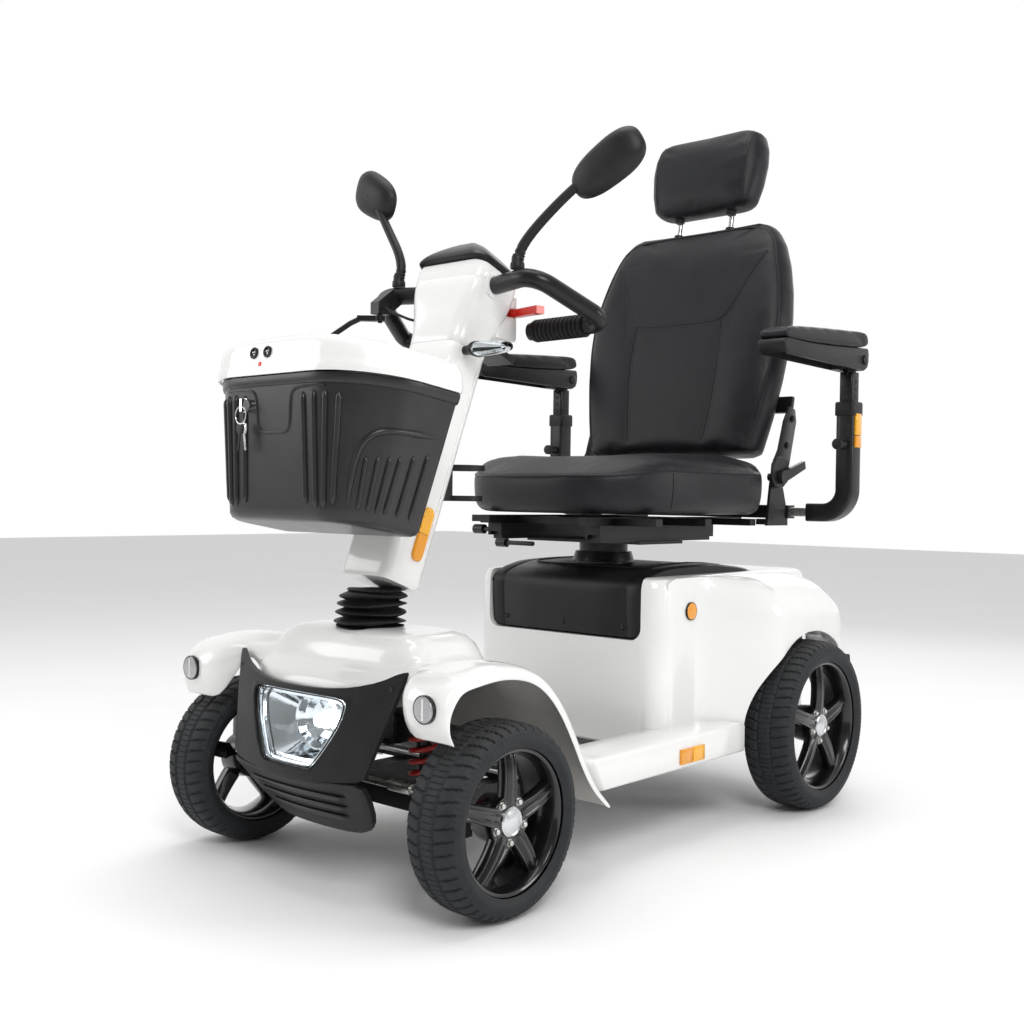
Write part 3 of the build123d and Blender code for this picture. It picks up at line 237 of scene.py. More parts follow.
def piece(name, verts, faces, material, body, subdiv=0, solid=0.0, bevel=0.0, angle=38, inner=None,
          offset=-1.0,
          replaces=(), flip=False, segments=2):
    """Make a mesh object with a finish, let it ride on a body, and hide the CAD nodes it stands for."""
    mesh = bpy.data.meshes.new(name)
    mesh.from_pydata([tuple(v) for v in verts], [], faces)
    mesh.validate()
    work = bmesh.new()
    work.from_mesh(mesh)
    bmesh.ops.remove_doubles(work, verts=work.verts, dist=1e-6)
    bmesh.ops.recalc_face_normals(work, faces=work.faces)
    if flip:
        bmesh.ops.reverse_faces(work, faces=work.faces)
    work.to_mesh(mesh)
    work.free()
    obj = bpy.data.objects.new(name, mesh)
    bpy.context.scene.collection.objects.link(obj)
    mesh.materials.append(MATS[material])
    if inner:
        mesh.materials.append(MATS[inner])
    if bevel:
        edge = obj.modifiers.new("bevel", "BEVEL")
        edge.width = bevel
        edge.segments = segments
        edge.limit_method = "ANGLE"
        edge.angle_limit = math.radians(40)
    if solid:
        shell = obj.modifiers.new("solid", "SOLIDIFY")
        shell.thickness = solid
        shell.offset = offset
        if inner:
            shell.material_offset = 1
            shell.material_offset_rim = 0
    if subdiv:
        smooth = obj.modifiers.new("smooth", "SUBSURF")
        smooth.levels = subdiv
        smooth.render_levels = subdiv
    finish_mesh(obj, angle)
    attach(obj, body)
    known = {m["slot"] for m in RECORD["materials"]}
    near = {"amber_pale": "amber", "white_mark": "white_shell", "tub_black": "black_satin"}
    material if material in known else near.get(material, "black_plastic")
    if replaces:
        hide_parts(*replaces)
    return obj


def loft(rings, closed=True, cap=True):
    """Faces between rings of equal point count."""
    count = len(rings[0])
    verts = [Vector(p) for ring in rings for p in ring]
    faces = []
    span = count if closed else count - 1
    for i in range(len(rings) - 1):
        for j in range(span):
            k = (j + 1) % count
            faces.append((i * count + j, i * count + k, (i + 1) * count + k, (i + 1) * count + j))
    if cap and closed:
        faces.append(tuple(reversed(range(count))))
        faces.append(tuple(range((len(rings) - 1) * count, len(rings) * count)))
    return verts, faces


def joined(*parts):
    """Put several (verts, faces) sets into one."""
    verts, faces = [], []
    for some_verts, some_faces in parts:
        start = len(verts)
        verts += list(some_verts)
        faces += [tuple(i + start for i in face) for face in some_faces]
    return verts, faces


def rounded(points, times=3, closed=False):
    """Cut the corners of a route again and again until it is smooth."""
    points = [Vector(p) for p in points]
    for _ in range(times):
        out = [] if closed else [points[0]]
        pairs = list(zip(points, points[1:] + points[:1])) if closed else list(zip(points, points[1:]))
        for a, b in pairs:
            out += [a * 0.75 + b * 0.25, a * 0.25 + b * 0.75]
        if not closed:
            out.append(points[-1])
        points = out
    return points


def through(points, per=6):
    """Smooth line through every point (Catmull-Rom)."""
    points = [Vector(p) for p in points]
    ends = [points[0] * 2 - points[1]] + points + [points[-1] * 2 - points[-2]]
    out = []
    for a, b, c, d in zip(ends, ends[1:], ends[2:], ends[3:]):
        for step in range(per):
            t = step / per
            out.append(0.5 * ((2 * b) + (c - a) * t + (2 * a - 5 * b + 4 * c - d) * t * t
                              + (3 * b - a - 3 * c + d) * t ** 3))
    out.append(points[-1])
    return out


def tube(path, radius, count=16, cap=True):
    """Pipe along a path; the radius is a number or a function of the share of the way along."""
    path = [Vector(p) for p in path]
    rings = []
    side = None
    for i, point in enumerate(path):
        along = (path[min(i + 1, len(path) - 1)] - path[max(i - 1, 0)]).normalized()
        if side is None:
            side = along.orthogonal().normalized()
        side = (side - along * side.dot(along)).normalized()
        other = along.cross(side)
        size = radius(i / (len(path) - 1)) if callable(radius) else radius
        rings.append([point + (side * math.cos(a) + other * math.sin(a)) * size
                      for a in (2 * math.pi * k / count for k in range(count))])
    return loft(rings, cap=cap)


def lathe(profile, centre, axis="x", count=64, closed=False, sign=1):
    """Turn (along, radius) pairs round a world axis through a point."""
    centre = Vector(centre)
    rings = []
    for along, radius in profile:
        ring = []
        for k in range(count):
            a = 2 * math.pi * k / count
            c, s = radius * math.cos(a), radius * math.sin(a)
            offset = {"x": (sign * along, c, s), "y": (c, sign * along, s), "z": (c, s, sign * along)}[axis]
            ring.append(centre + Vector(offset))
        rings.append(ring)
    if closed:
        rings.append(rings[0])
    return loft(rings, cap=not closed)


def turned(profile, origin, direction, count=32):
    """Turn (along, radius) pairs round any direction."""
    direction = Vector(direction).normalized()
    side = direction.orthogonal().normalized()
    other = direction.cross(side)
    origin = Vector(origin)
    rings = [[origin + direction * along + (side * math.cos(a) + other * math.sin(a)) * radius
              for a in (2 * math.pi * k / count for k in range(count))] for along, radius in profile]
    return loft(rings)


def oval(width, depth, power=4.0, count=48):
    """Superellipse outline as (x, y) pairs."""
    out = []
    for k in range(count):
        a = 2 * math.pi * k / count
        c, s = math.cos(a), math.sin(a)
        out.append((width / 2 * math.copysign(abs(c) ** (2 / power), c),
                    depth / 2 * math.copysign(abs(s) ** (2 / power), s)))
    return out


def block(low, high):
    """Plain box between two corners, as (verts, faces)."""
    (a, b, c), (d, e, f) = low, high
    verts = [(a, b, c), (d, b, c), (d, e, c), (a, e, c), (a, b, f), (d, b, f), (d, e, f), (a, e, f)]
    faces = [(0, 3, 2, 1), (4, 5, 6, 7), (0, 1, 5, 4), (1, 2, 6, 5), (2, 3, 7, 6), (3, 0, 4, 7)]
    return verts, faces


def prism(outline, low, high, axis="x"):
    """Flat outline pushed along one axis. For x the outline is (y, z), for y (x, z), for z (x, y)."""
    rings = []
    for level in (low, high):
        if axis == "x":
            rings.append([(level, a, b) for a, b in outline])
        elif axis == "y":
            rings.append([(a, level, b) for a, b in outline])
        else:
            rings.append([(a, b, level) for a, b in outline])
    return loft(rings)


def smoothstep(low, high, value):
    t = min(1.0, max(0.0, (value - low) / (high - low)))
    return t * t * (3 - 2 * t)


def skin(obj):
    """Surface lookup: nearest point and normal on a finished piece."""
    tree = BVHTree.FromObject(obj, bpy.context.evaluated_depsgraph_get())
    turn = obj.matrix_world.inverted()

    def nearest(point, lift=0.0):
        place, normal, _, _ = tree.find_nearest(turn @ Vector(point))
        return obj.matrix_world @ (place + normal * lift)
    return nearest


def tiller(across, back, up):
    """World point from the tiller's own frame."""
    return FOOT + Vector((across, back * math.cos(LEAN) + up * math.sin(LEAN),
                          up * math.cos(LEAN) - back * math.sin(LEAN)))


def back(across, rear, up):
    """World point from the backrest's own frame."""
    return BACK_FOOT + Vector((across, rear * math.cos(BACK_LEAN) + up * math.sin(BACK_LEAN),
                               up * math.cos(BACK_LEAN) - rear * math.sin(BACK_LEAN)))


# ---------------------------------------------------------------- camera, light and floor
def studio():
    """Camera, a sky that dims behind it, five soft lamps, and a plain pale floor."""
    backward = Vector((math.sin(AZIMUTH) * math.cos(ELEVATION), -math.cos(AZIMUTH) * math.cos(ELEVATION),
                       math.sin(ELEVATION)))
    right = Vector((math.cos(AZIMUTH), math.sin(AZIMUTH), 0))
    up = backward.cross(right)
    right, up = (right * math.cos(ROLL) + up * math.sin(ROLL), up * math.cos(ROLL) - right * math.sin(ROLL))
    data = bpy.data.cameras.new("camera")
    data.sensor_width = SENSOR
    data.lens = LENS
    data.clip_start = 0.05
    camera = bpy.data.objects.new("camera", data)
    camera.matrix_world = Matrix((
        (right.x, up.x, backward.x, EYE[0]), (right.y, up.y, backward.y, EYE[1]),
        (right.z, up.z, backward.z, EYE[2]), (0, 0, 0, 1)))
    bpy.context.scene.collection.objects.link(camera)
    bpy.context.scene.camera = camera
    world = bpy.data.worlds.new("world")
    world.use_nodes = True
    nodes, links = world.node_tree.nodes, world.node_tree.links
    nodes["Background"].inputs["Color"].default_value = (1, 1, 1, 1)
    place = nodes.new("ShaderNodeTexCoord")
    along = nodes.new("ShaderNodeVectorMath")
    along.operation = "DOT_PRODUCT"
    along.inputs[1].default_value = (-0.64, 0.72, 0.26)
    fade = nodes.new("ShaderNodeMapRange")
    fade.interpolation_type = "SMOOTHSTEP"
    fade.inputs["From Min"].default_value = -0.5
    fade.inputs["From Max"].default_value = 0.75
    fade.inputs["To Min"].default_value = 0.24
    fade.inputs["To Max"].default_value = 1.0
    links.new(place.outputs["Generated"], along.inputs[0])
    links.new(along.outputs["Value"], fade.inputs["Value"])
    links.new(fade.outputs["Result"], nodes["Background"].inputs["Strength"])
    bpy.context.scene.world = world
    lamps = (
        ("key", (2.3, -1.9, 2.6), (0, 0, 0.6), 1.3, 54), ("fill", (-2.4, -2.4, 1.7), (0, 0, 0.6), 1.6, 22),
        ("side", (3.0, 1.2, 1.3), (0, 0.2, 0.5), 1.0, 24), ("top", (0.0, -0.3, 3.4), (0, 0, 0.5), 1.8, 30),
        ("rear", (-0.8, 3.2, 2.2), (0, 0, 0.8), 1.8, 12),
    )
    for name, place, aim, size, power in lamps:
        lamp = bpy.data.lights.new(name, "AREA")
        lamp.size = size
        lamp.energy = power
        obj = bpy.data.objects.new(name, lamp)
        obj.location = place
        obj.rotation_euler = (Vector(aim) - Vector(place)).to_track_quat("-Z", "Y").to_euler()
        bpy.context.scene.collection.objects.link(obj)
    bpy.context.scene.view_settings.view_transform = "Standard"
    half = FLOOR_HALF
    mesh = bpy.data.meshes.new("floor")
    mesh.from_pydata([(-half, -half, 0), (half, -half, 0), (half, half, 0), (-half, half, 0)], [],
                     [(0, 1, 2, 3)])
    floor = bpy.data.objects.new("floor", mesh)
    bpy.context.scene.collection.objects.link(floor)
    paper = shader("floor_paper", (0.93, 0.93, 0.93), 0.8, vary=0.01, cell=2, bump=0.02)
    mesh.materials.append(paper)


studio()


def brake_cable():
    """Short sheathed cable from the brake lever's adjuster down into the tiller."""
    route = through([(-.134, -.299, .974), (-.118, -.297, .966), (-.102, -.288, .958), (-.093, -.278, .953),
                     (-.085, -.266, .950)], 6)
    cable = piece("brake_cable_free", *tube(route, 0.0025, 12), "black_plastic", "tiller",
                  replaces=("brake_cable",))


brake_cable()


# ---------------------------------------------------------------- CAD nodes that stay, with their finishes
def carry_over():
    """Every CAD node takes the material of its record slot; pieces below replace many of them."""
    for row in RECORD["subparts"]:
        node = frame["nodes"][row["node"]]
        material = MATS[row["material_slot"]]
        if not node.data.materials:
            node.data.materials.append(material)
        for index in range(len(node.data.materials)):
            node.data.materials[index] = material


carry_over()


# ---------------------------------------------------------------- wheels
def tyre(hand, sign, where, spec, blocks):
    """Tyre with block tread, two running grooves, ribbed shoulders and a raised ring on each sidewall."""
    width, outer, inner = spec["width"], spec["radius"], spec["rim"]
    around, across = blocks * 10, 61
    verts, faces = [], []
    for k in range(around):
        angle = 2 * math.pi * k / around
        for j in range(across):
            t = math.pi * j / (across - 1)
            c, s = math.cos(t), math.sin(t)
            radius = inner + (outer - inner) * max(0, s) ** 0.5
            x = width / 2 * math.copysign(abs(c) ** 0.6, c)
            x *= 0.86 + 0.14 * smoothstep(inner, inner + 0.35 * (outer - inner), radius)
            share = abs(x) / width
            phase = (k + (5 if x > 0 else 0) + int(abs(x) * 130)) % 10
            cut = 0
            if radius > outer - 0.009:
                if 0.09 < share < 0.15:
                    cut = 0.0034
                elif share >= 0.15 and phase < 2:
                    cut = 0.0034
                elif share <= 0.09 and (k % 5) == 0:
                    cut = 0.0018
            elif radius > outer - 0.022 and k % 5 < 2:
                cut = 0.0014
            radius -= cut
            ring = math.exp(-((radius - inner - 0.55 * (outer - inner)) / 0.0012) ** 2)
            x += math.copysign(0.0010 * ring - 0.0008, x)
            verts.append((sign * spec["x"] + x, spec["y"] + radius * math.cos(angle),
                          spec["radius"] + radius * math.sin(angle)))
    for k in range(around):
        n = (k + 1) % around
        for j in range(across - 1):
            faces.append((k * across + j, k * across + j + 1, n * across + j + 1, n * across + j))
    piece(f"tyre_{where}_{hand}", verts, faces, "tyre", f"{where}_wheel_{hand}", angle=32,
          replaces=(f"{where}_tyre_{hand}",))


def rim(hand, sign, where, spec):
    """Five-spoke alloy with a dished barrel, a cap with a turned ring and five hexagon nuts."""
    half, edge = spec["width"] / 2, spec["rim"]
    centre = Vector((sign * spec["x"], spec["y"], spec["radius"]))
    body = f"{where}_wheel_{hand}"
    barrel = lathe([(half - 0.010, edge + 0.001), (half - 0.009, edge - 0.002),
                    (half - 0.011, edge - 0.006),
                    (half - 0.018, edge - 0.009), (half - 0.030, edge - 0.013), (0, edge - 0.016),
                    (-half + 0.026, edge - 0.012), (-half + 0.012, edge - 0.006), (-half + 0.011, edge),
                    (-half + 0.020, edge - 0.003), (0, edge - 0.004), (half - 0.020, edge - 0.002)],
                   centre, count=96, closed=True, sign=sign)
    face = half - 0.020
    parts = [barrel]
    for k in range(5):
        turn = math.radians(90 + 72 * k)
        out = Vector((0, math.cos(turn), math.sin(turn)))
        flat = Vector((0, -math.sin(turn), math.cos(turn)))
        rings = []
        for step in range(9):
            share = step / 8
            radius = 0.026 + (edge - 0.034) * share
            wide = 0.030 - 0.006 * share + 0.004 * max(0, share - 0.85) * 6
            dish = 0.0005 + 0.0035 * math.sin(math.pi * share) - 0.003 * share
            rows = [(-0.5, -0.016), (-0.52, -0.003), (-0.46, 0.001), (-0.30, 0.0), (-0.26, -0.0012),
                    (-0.10, 0.0038),
                    (0.10, 0.0038), (0.26, -0.0012), (0.30, 0.0), (0.46, 0.001), (0.52, -0.003),
                    (0.5, -0.016)]
            rings.append([centre + out * radius + flat * wide * a + Vector((sign * (face + dish + b), 0, 0))
                          for a, b in rows])
        parts.append(loft(rings))
    parts.append(lathe([(face - 0.045, 0.036), (face - 0.002, 0.041), (face + 0.001, 0.040),
                        (face + 0.0015, 0.030),
                        (face + 0.001, 0.012)], centre, count=48, sign=sign))
    piece(f"rim_{where}_{hand}", *joined(*parts), "rim", body, bevel=0.0008,
          replaces=(f"{where}_rim_{hand}",))
    piece(f"cap_{where}_{hand}", *lathe([(face, 0.023), (face + 0.005, 0.0225), (face + 0.0065, 0.0205),
            (face + 0.0055, 0.0185),
            (face + 0.006, 0.0165), (face + 0.0082, 0.010), (face + 0.0088, 0.003),
            (face + 0.0089, 0.0004)], centre, count=48, sign=sign), "silver", body)
    nuts = []
    for k in range(5):
        turn = math.radians(54 + 72 * k)
        place = centre + Vector((0, 0.032 * math.cos(turn), 0.032 * math.sin(turn)))
        nuts.append(lathe([(face, 0.0066), (face + 0.0015, 0.0066), (face + 0.0016, 0.0048),
                           (face + 0.0052, 0.0048),
                           (face + 0.0062, 0.0036), (face + 0.0062, 0.0004)], place, count=6, sign=sign))
    piece(f"nuts_{where}_{hand}", *joined(*nuts), "bright_steel", body, bevel=0.0004, angle=25)


for side, hand in SIDES:
    tyre(hand, side, "front", FRONT, 48)
    tyre(hand, side, "rear", REAR, 54)
    rim(hand, side, "front", FRONT)
    rim(hand, side, "rear", REAR)


# ---------------------------------------------------------------- front moulding
def front_shell():
    """White moulding over the front axle: fenders, raised centre hump and footwell apron in one skin."""
    fender = [(-.580, .274), (-.594, .300), (-.597, .335), (-.572, .366), (-.530, .376), (-.470, .381),
              (-.410, .372), (-.365, .350), (-.325, .312), (-.290, .262), (-.255, .200), (-.225, .155),
              (-.186, .116)]
    middle = [(-.590, .322), (-.588, .330), (-.582, .340), (-.568, .350), (-.545, .362), (-.520, .395),
              (-.490, .410), (-.420, .411), (-.365, .408), (-.340, .385), (-.325, .330), (-.300, .260),
              (-.262, .165)]
    saddle = [(-.545, .348), (-.544, .355), (-.540, .361), (-.532, .366), (-.520, .368), (-.490, .366),
              (-.455, .366), (-.410, .362), (-.375, .350), (-.340, .322), (-.310, .280), (-.285, .225),
              (-.245, .150)]
    stations = [(0, middle, 0), (.08, middle, 0), (.145, middle, 0), (.165, middle, .35), (.188, saddle, 0),
                (.204, saddle, 0), (.220, saddle, .55), (.236, fender, 0), (.270, fender, 0),
                (.300, fender, 0),
                (.318, fender, -.10), (.326, fender, -.26), (.3285, fender, -.6)]
    rings = []
    for x, profile, mix in stations:
        if mix > 0:
            other = saddle if profile is middle else fender
            profile = [(a * (1 - mix) + c * mix, b * (1 - mix) + d * mix)
                       for (a, b), (c, d) in zip(profile, other)]
        ring = []
        for place, (y, z) in enumerate(profile):
            if x < .18:
                y += (.5316 - math.sqrt(.5316 ** 2 - x * x) + .004) * (1, 1, 1, 1, .7, .3, .1, 0, 0, 0, 0,
                        0, 0)[place]
            if mix < 0:
                away = Vector((0, y - FRONT["y"], z - 0.150))
                away = away - away.normalized() * 0.040 * -mix * (.15 if place == 0 else .6 if place == 1
                        else 1)
                y, z = FRONT["y"] + away.y, 0.150 + away.z
            ring.append(Vector((x, y, z)))
        rings.append(through(ring, 4))
    left = [[Vector((-p.x, p.y, p.z)) for p in ring] for ring in rings[:0:-1]]
    verts, faces = loft(left + rings, closed=False, cap=False)
    piece("front_moulding", verts, faces, "white_shell", "chassis", solid=0.0035, subdiv=1,
          inner="grey_liner",
          angle=50, flip=verts[faces[len(faces) // 2][0]].z < 0, replaces=("front_shell",))


front_shell()


def nose_radius(z):
    """Radius of the nose round its own upright axis at a height."""
    if z > 0.190:
        return NOSE_R + NOSE_SPREAD * (0.400 - z) / 0.210
    return NOSE_R + NOSE_SPREAD - NOSE_TUCK * (0.190 - z) / 0.100


def on_nose(x, z, lift=0.0):
    radius = nose_radius(z) + lift
    return Vector((x, NOSE_Y - math.sqrt(max(0, radius * radius - x * x)), z))


def reach(outline, centre, angle):
    """Distance from a centre to an outline in one direction."""
    direction = Vector((math.cos(angle), math.sin(angle)))
    best = 0
    for a, b in zip(outline, outline[1:] + outline[:1]):
        a, b = Vector(a) - Vector(centre), Vector(b) - Vector(centre)
        edge = b - a
        cross = direction.x * edge.y - direction.y * edge.x
        if abs(cross) < 1e-12:
            continue
        distance = (a.x * edge.y - a.y * edge.x) / cross
        share = (a.x * direction.y - a.y * direction.x) / cross
        if distance > 0 and -1e-9 <= share <= 1 + 1e-9:
            best = max(best, distance)
    return best


def mirrored(points):
    """Close a half outline, given from top middle to bottom middle, with its mirror image."""
    return [(x, z) for x, z in points] + [(-x, z) for x, z in reversed(points) if x > 1e-6]


def soft_outline(points, times=2):
    return [(p.x, p.y) for p in rounded([(x, z, 0) for x, z in points], times, closed=True)]


MASK = soft_outline(mirrored([(0, .327), (.060, .328), (.118, .334), (.170, .348), (.200, .364),
                              (.205, .360),
                              (.190, .305), (.180, .270), (.166, .222), (.160, .197), (.100, .190),
                              (0, .188)]), 1)
WINDOW = soft_outline(mirrored([(0, .319), (.092, .318), (.112, .312), (.113, .300), (.108, .282),
                                (.100, .264),
                                (.080, .232), (.062, .208), (.050, .203), (0, .203)]))
BUMPER = soft_outline(mirrored([(0, .184), (.100, .187), (.159, .193), (.154, .168), (.136, .128),
                                (.112, .104),
                                (.088, .095), (0, .095)]), 1)


def angles_for(centre, *outlines):
    found = {round(2 * math.pi * k / 120, 5) for k in range(120)}
    for outline in outlines:
        for x, z in outline:
            found.add(round(math.atan2(z - centre[1], x - centre[0]) % (2 * math.pi), 5))
    return sorted(found)


def nose_ring(outline, centre, angles, share=1.0, lift=0.0, other=None):
    """Ring on the nose, at a share of the outline, or between two outlines."""
    ring = []
    for angle in angles:
        radius = reach(outline, centre, angle)
        if other is not None:
            radius = radius * (1 - share) + reach(other, centre, angle) * share
        else:
            radius *= share
        ring.append(on_nose(centre[0] + radius * math.cos(angle), centre[1] + radius * math.sin(angle),
                            lift))
    return ring


def nose():
    """Mask, lens, faceted bowl and bulb, then the ribbed bumper under them."""
    centre = (0, 0.262)
    angles = angles_for(centre, MASK, WINDOW)
    rings = [nose_ring(MASK, centre, angles, 0, -0.008, WINDOW),
             nose_ring(MASK, centre, angles, 0, -0.0005, WINDOW),
             nose_ring(MASK, centre, angles, 0.02, 0.0004, WINDOW)]
    for share in (0.1, 0.25, 0.4, 0.55, 0.7, 0.82, 0.90):
        rings.append(nose_ring(MASK, centre, angles, share, 0.0004, WINDOW))
    rings += [nose_ring(MASK, centre, angles, 0.93, 0.0020, WINDOW),
              nose_ring(MASK, centre, angles, 0.97, 0.0020, WINDOW),
              nose_ring(MASK, centre, angles, 0.99, 0.0, WINDOW),
              nose_ring(MASK, centre, angles, 1.0, -0.014, WINDOW)]
    piece("mask", *loft(rings, cap=False), "black_plastic", "chassis", angle=30, replaces=("front_mask",))
    rings = [nose_ring(WINDOW, centre, angles, share, -0.006 + 0.002 * (1 - share ** 2)) for share in
             (0.985, 0.9, 0.7, 0.5, 0.3, 0.1, 0.002)]
    piece("lens", *loft(rings, cap=False), "clear_lens", "chassis", solid=0.002,
          replaces=("headlight_lens",))
    rings = []
    for share, deep in ((0.995, 0.006), (0.95, 0.009), (0.94, 0.012), (0.90, 0.013), (0.88, 0.017),
                        (0.80, 0.018)):
        rings.append([p + Vector((0, deep, 0)) for p in nose_ring(WINDOW, centre, angles, share)])
    lamp = Vector((0.018, -0.560, 0.268))
    for radius, deep in ((0.046, -0.012), (0.044, -0.010), (0.038, 0.0), (0.030, 0.008), (0.020, 0.013),
                         (0.010, 0.015),
                         (0.0005, 0.0155)):
        rings.append([lamp + Vector((radius * 1.15 * math.cos(a), deep, radius * math.sin(a)))
                      for a in angles])
    piece("bowl", *loft(rings, cap=False), "lamp_reflector", "chassis", angle=12,
          replaces=("headlight_reflector",))
    piece("bulb", *lathe([(0.0, 0.014), (0.003, 0.014), (0.004, 0.0115), (0.014, 0.0110), (0.020, 0.0080),
                          (0.023, 0.0005)], lamp + Vector((0, 0.008, 0)), "y", 28, sign=-1), "bulb",
          "chassis")
    piece("lens_line", *tube(nose_ring(WINDOW, centre, angles, 0.95, -0.0035) + nose_ring(
             WINDOW, centre, angles[:1], 0.95, -0.0035), 0.0012, 6, cap=False), "black_satin", "chassis")
    centre = (0, 0.145)
    angles = angles_for(centre, BUMPER)
    rings = [nose_ring(BUMPER, centre, angles, 1.0, -0.010), nose_ring(BUMPER, centre, angles, 1.0, -0.001),
             nose_ring(BUMPER, centre, angles, 0.985, 0.0006)]
    rings += [nose_ring(BUMPER, centre, angles, share, 0.0006) for share in (0.9, 0.75, 0.55, 0.3, 0.004)]
    piece("bumper", *loft(rings, cap=False), "black_plastic", "chassis", angle=30,
          replaces=("front_bumper",))
    for number, (z, half) in enumerate(((.162, .118), (.143, .108), (.124, .096))):
        rings = []
        for step in range(41):
            x = half * (step / 20 - 1)
            near_end = min(1, (half - abs(x)) / 0.008)
            grow = 0.0055 * near_end + 0.0001
            section = [(-.0052, -.001), (-.0048, .6 * grow), (-.003, grow), (.003, grow),
                       (.0048, .6 * grow),
                       (.0052, -.001)]
            rings.append([on_nose(x * (1 - 0.35 * (high < 0) * 0.1 * 3), z + high, lift)
                          for high, lift in section])
        piece(f"bumper_rib_{number + 1}", *loft(rings), "black_satin", "chassis", angle=50)
    edge = [on_nose(x, .1868 + .0055 * (x / .16) ** 2, 0.0004) for x in [i / 100 for i in range(-15, 16)]]
    piece("split_edge", *tube(edge, 0.0011, 8), "black_satin", "chassis")
    spots = ((.186, .338), (-.186, .338))
    for number, (x, z) in enumerate(spots):
        piece(f"mask_screw_{number + 1}", *lathe([(0, 0.0042), (0.0018, 0.0038), (0.0022, 0.0005)],
                on_nose(x, z, -0.0005), "y", 16, sign=-1), "black_satin", "chassis")


nose()


# ---------------------------------------------------------------- basket
def basket_plan(half, depth, front, rear=0.016):
    """D-shaped outline, from the middle of the back round to the middle of the back again."""
    points = []

    def line(a, b, count):
        points.extend([(a[0] + (b[0] - a[0]) * k / count, a[1] + (b[1] - a[1]) * k / count)
                       for k in range(count)])

    def arc(cx, cy, radius, start, stop, count):
        for k in range(count):
            a = math.radians(start + (stop - start) * k / count)
            points.append((cx + radius * math.cos(a), cy + radius * math.sin(a)))

    line((0, 0), (half - rear, 0), 8)
    arc(half - rear, -rear, rear, 90, 0, 5)
    line((half, -rear), (half, -depth + front), 14)
    arc(half - front, -depth + front, front, 0, -90, 18)
    line((half - front, -depth), (-half + front, -depth), 14)
    arc(-half + front, -depth + front, front, -90, -180, 18)
    line((-half, -depth + front), (-half, -rear), 14)
    arc(-half + rear, -rear, rear, 180, 90, 5)
    line((-half + rear, 0), (0, 0), 8)
    return points


def basket_ring(share, inset=0.0, lift=0.0):
    """Ring of the basket at a share of its height; the top and the foot are tilted differently."""
    half = .166 + .044 * share - inset
    depth = .158 + .050 * share - 2 * inset
    front = max(0.012, .072 + .050 * share - inset)
    origin = Vector((0, -.490, .562)).lerp(Vector((0, -.446, .788)), share)
    tilt = math.radians(10 - 3 * share)
    return [origin + Vector((x, (y - inset) * math.cos(tilt) + lift * math.sin(tilt),
                             lift * math.cos(tilt) - (y - inset) * math.sin(tilt)))
            for x, y in basket_plan(half, depth, front, max(0.006, .016 - inset))]


def basket_point(index, share, lift=0.0):
    """Point on the outside of the basket at a place along its outline."""
    ring = basket_ring(share, -lift)
    low = int(math.floor(index)) % len(ring)
    return ring[low].lerp(ring[(low + 1) % len(ring)], index - math.floor(index))


def bracket(start, end):
    """Flat upright steel strap between two points."""
    return loft([[p + Vector((x, 0, z)) for x, z in ((-.004, -.030), (.004, -.030), (.004, .030),
            (-.004, .030))]
                 for p in (start, end)])


def basket():
    """Tub with rolled rim, long ribs on the front corners and a framed panel with ribs on each side."""
    rings = [basket_ring(0, 0.060), basket_ring(0, 0.020), basket_ring(0.004, 0.010),
             basket_ring(0.018, 0.003),
             basket_ring(0.045, 0.0), basket_ring(0.10, 0.0)]
    rings += [basket_ring(k / 12) for k in range(2, 11)]
    rings += [basket_ring(0.925), basket_ring(0.930, -0.0025), basket_ring(0.945, -0.0035),
              basket_ring(0.980, -0.0035),
              basket_ring(0.995, -0.003), basket_ring(1.0, 0.001), basket_ring(0.995, 0.005),
              basket_ring(0.9, 0.006)]
    rings += [basket_ring(k / 8, 0.005) for k in range(6, 0, -1)]
    rings += [basket_ring(0.05, 0.012), basket_ring(0.03, 0.030), basket_ring(0.03, 0.060)]
    piece("basket", *loft(rings), "tub_black", "tiller", angle=50, replaces=("basket_tub",))
    ribs = []
    for index, low, high in ((39.6, .12, .87), (41.9, .09, .88), (44.2, .09, .88), (46.3, .11, .87)):
        for place in (index, 104 - index):
            path = [basket_point(place, low + (high - low) * k / 40) for k in range(41)]
            ribs.append(tube(path, lambda t: 0.0050 * min(1, (24 * t + .04) ** .5,
                    (24 * (1 - t) + .04) ** .5), 10))
    for index in (17, 22.4, 27.4, 29.6, 31.8, 34.0):
        for place in (index, 104 - index):
            path = [basket_point(place, .10 + (.46 - .006 * abs(index - 17)) * k / 24) for k in range(25)]
            ribs.append(tube(path, lambda t: 0.0042 * min(1, (14 * t + .04) ** .5,
                    (14 * (1 - t) + .04) ** .5), 10))
    for flip in (False, True):
        knots = ((36.4, .10), (36.1, .35), (35.2, .52), (33.2, .615), (30.5, .65), (25, .665), (14.5, .675))
        path = through([basket_point(104 - i if flip else i, s) for i, s in knots], 6)
        ribs.append(tube(path, lambda t: 0.0050 * min(1, 8 * t + 0.1, 8 * (1 - t) + 0.1), 10))
    knots = [(52, .60), (50.2, .60), (49.3, .62), (48.9, .68), (48.7, .80), (48.2, .88), (46.5, .905),
             (42, .91)]
    half = [basket_point(i, s) for i, s in knots]
    other = [basket_point(104 - i, s) for i, s in knots[1:]]
    ribs.append(tube(through(list(reversed(other)) + half, 6), 0.0024, 8))
    piece("basket_ribs", *joined(*ribs), "tub_black", "tiller")
    for number, x in enumerate((-.026, .026)):
        path = [Vector((x, -.447, .700)), Vector((x, -.385, .686))]
        piece(f"basket_bracket_{number + 1}", *bracket(path[0], path[1]), "frame_steel", "tiller",
              bevel=.001)


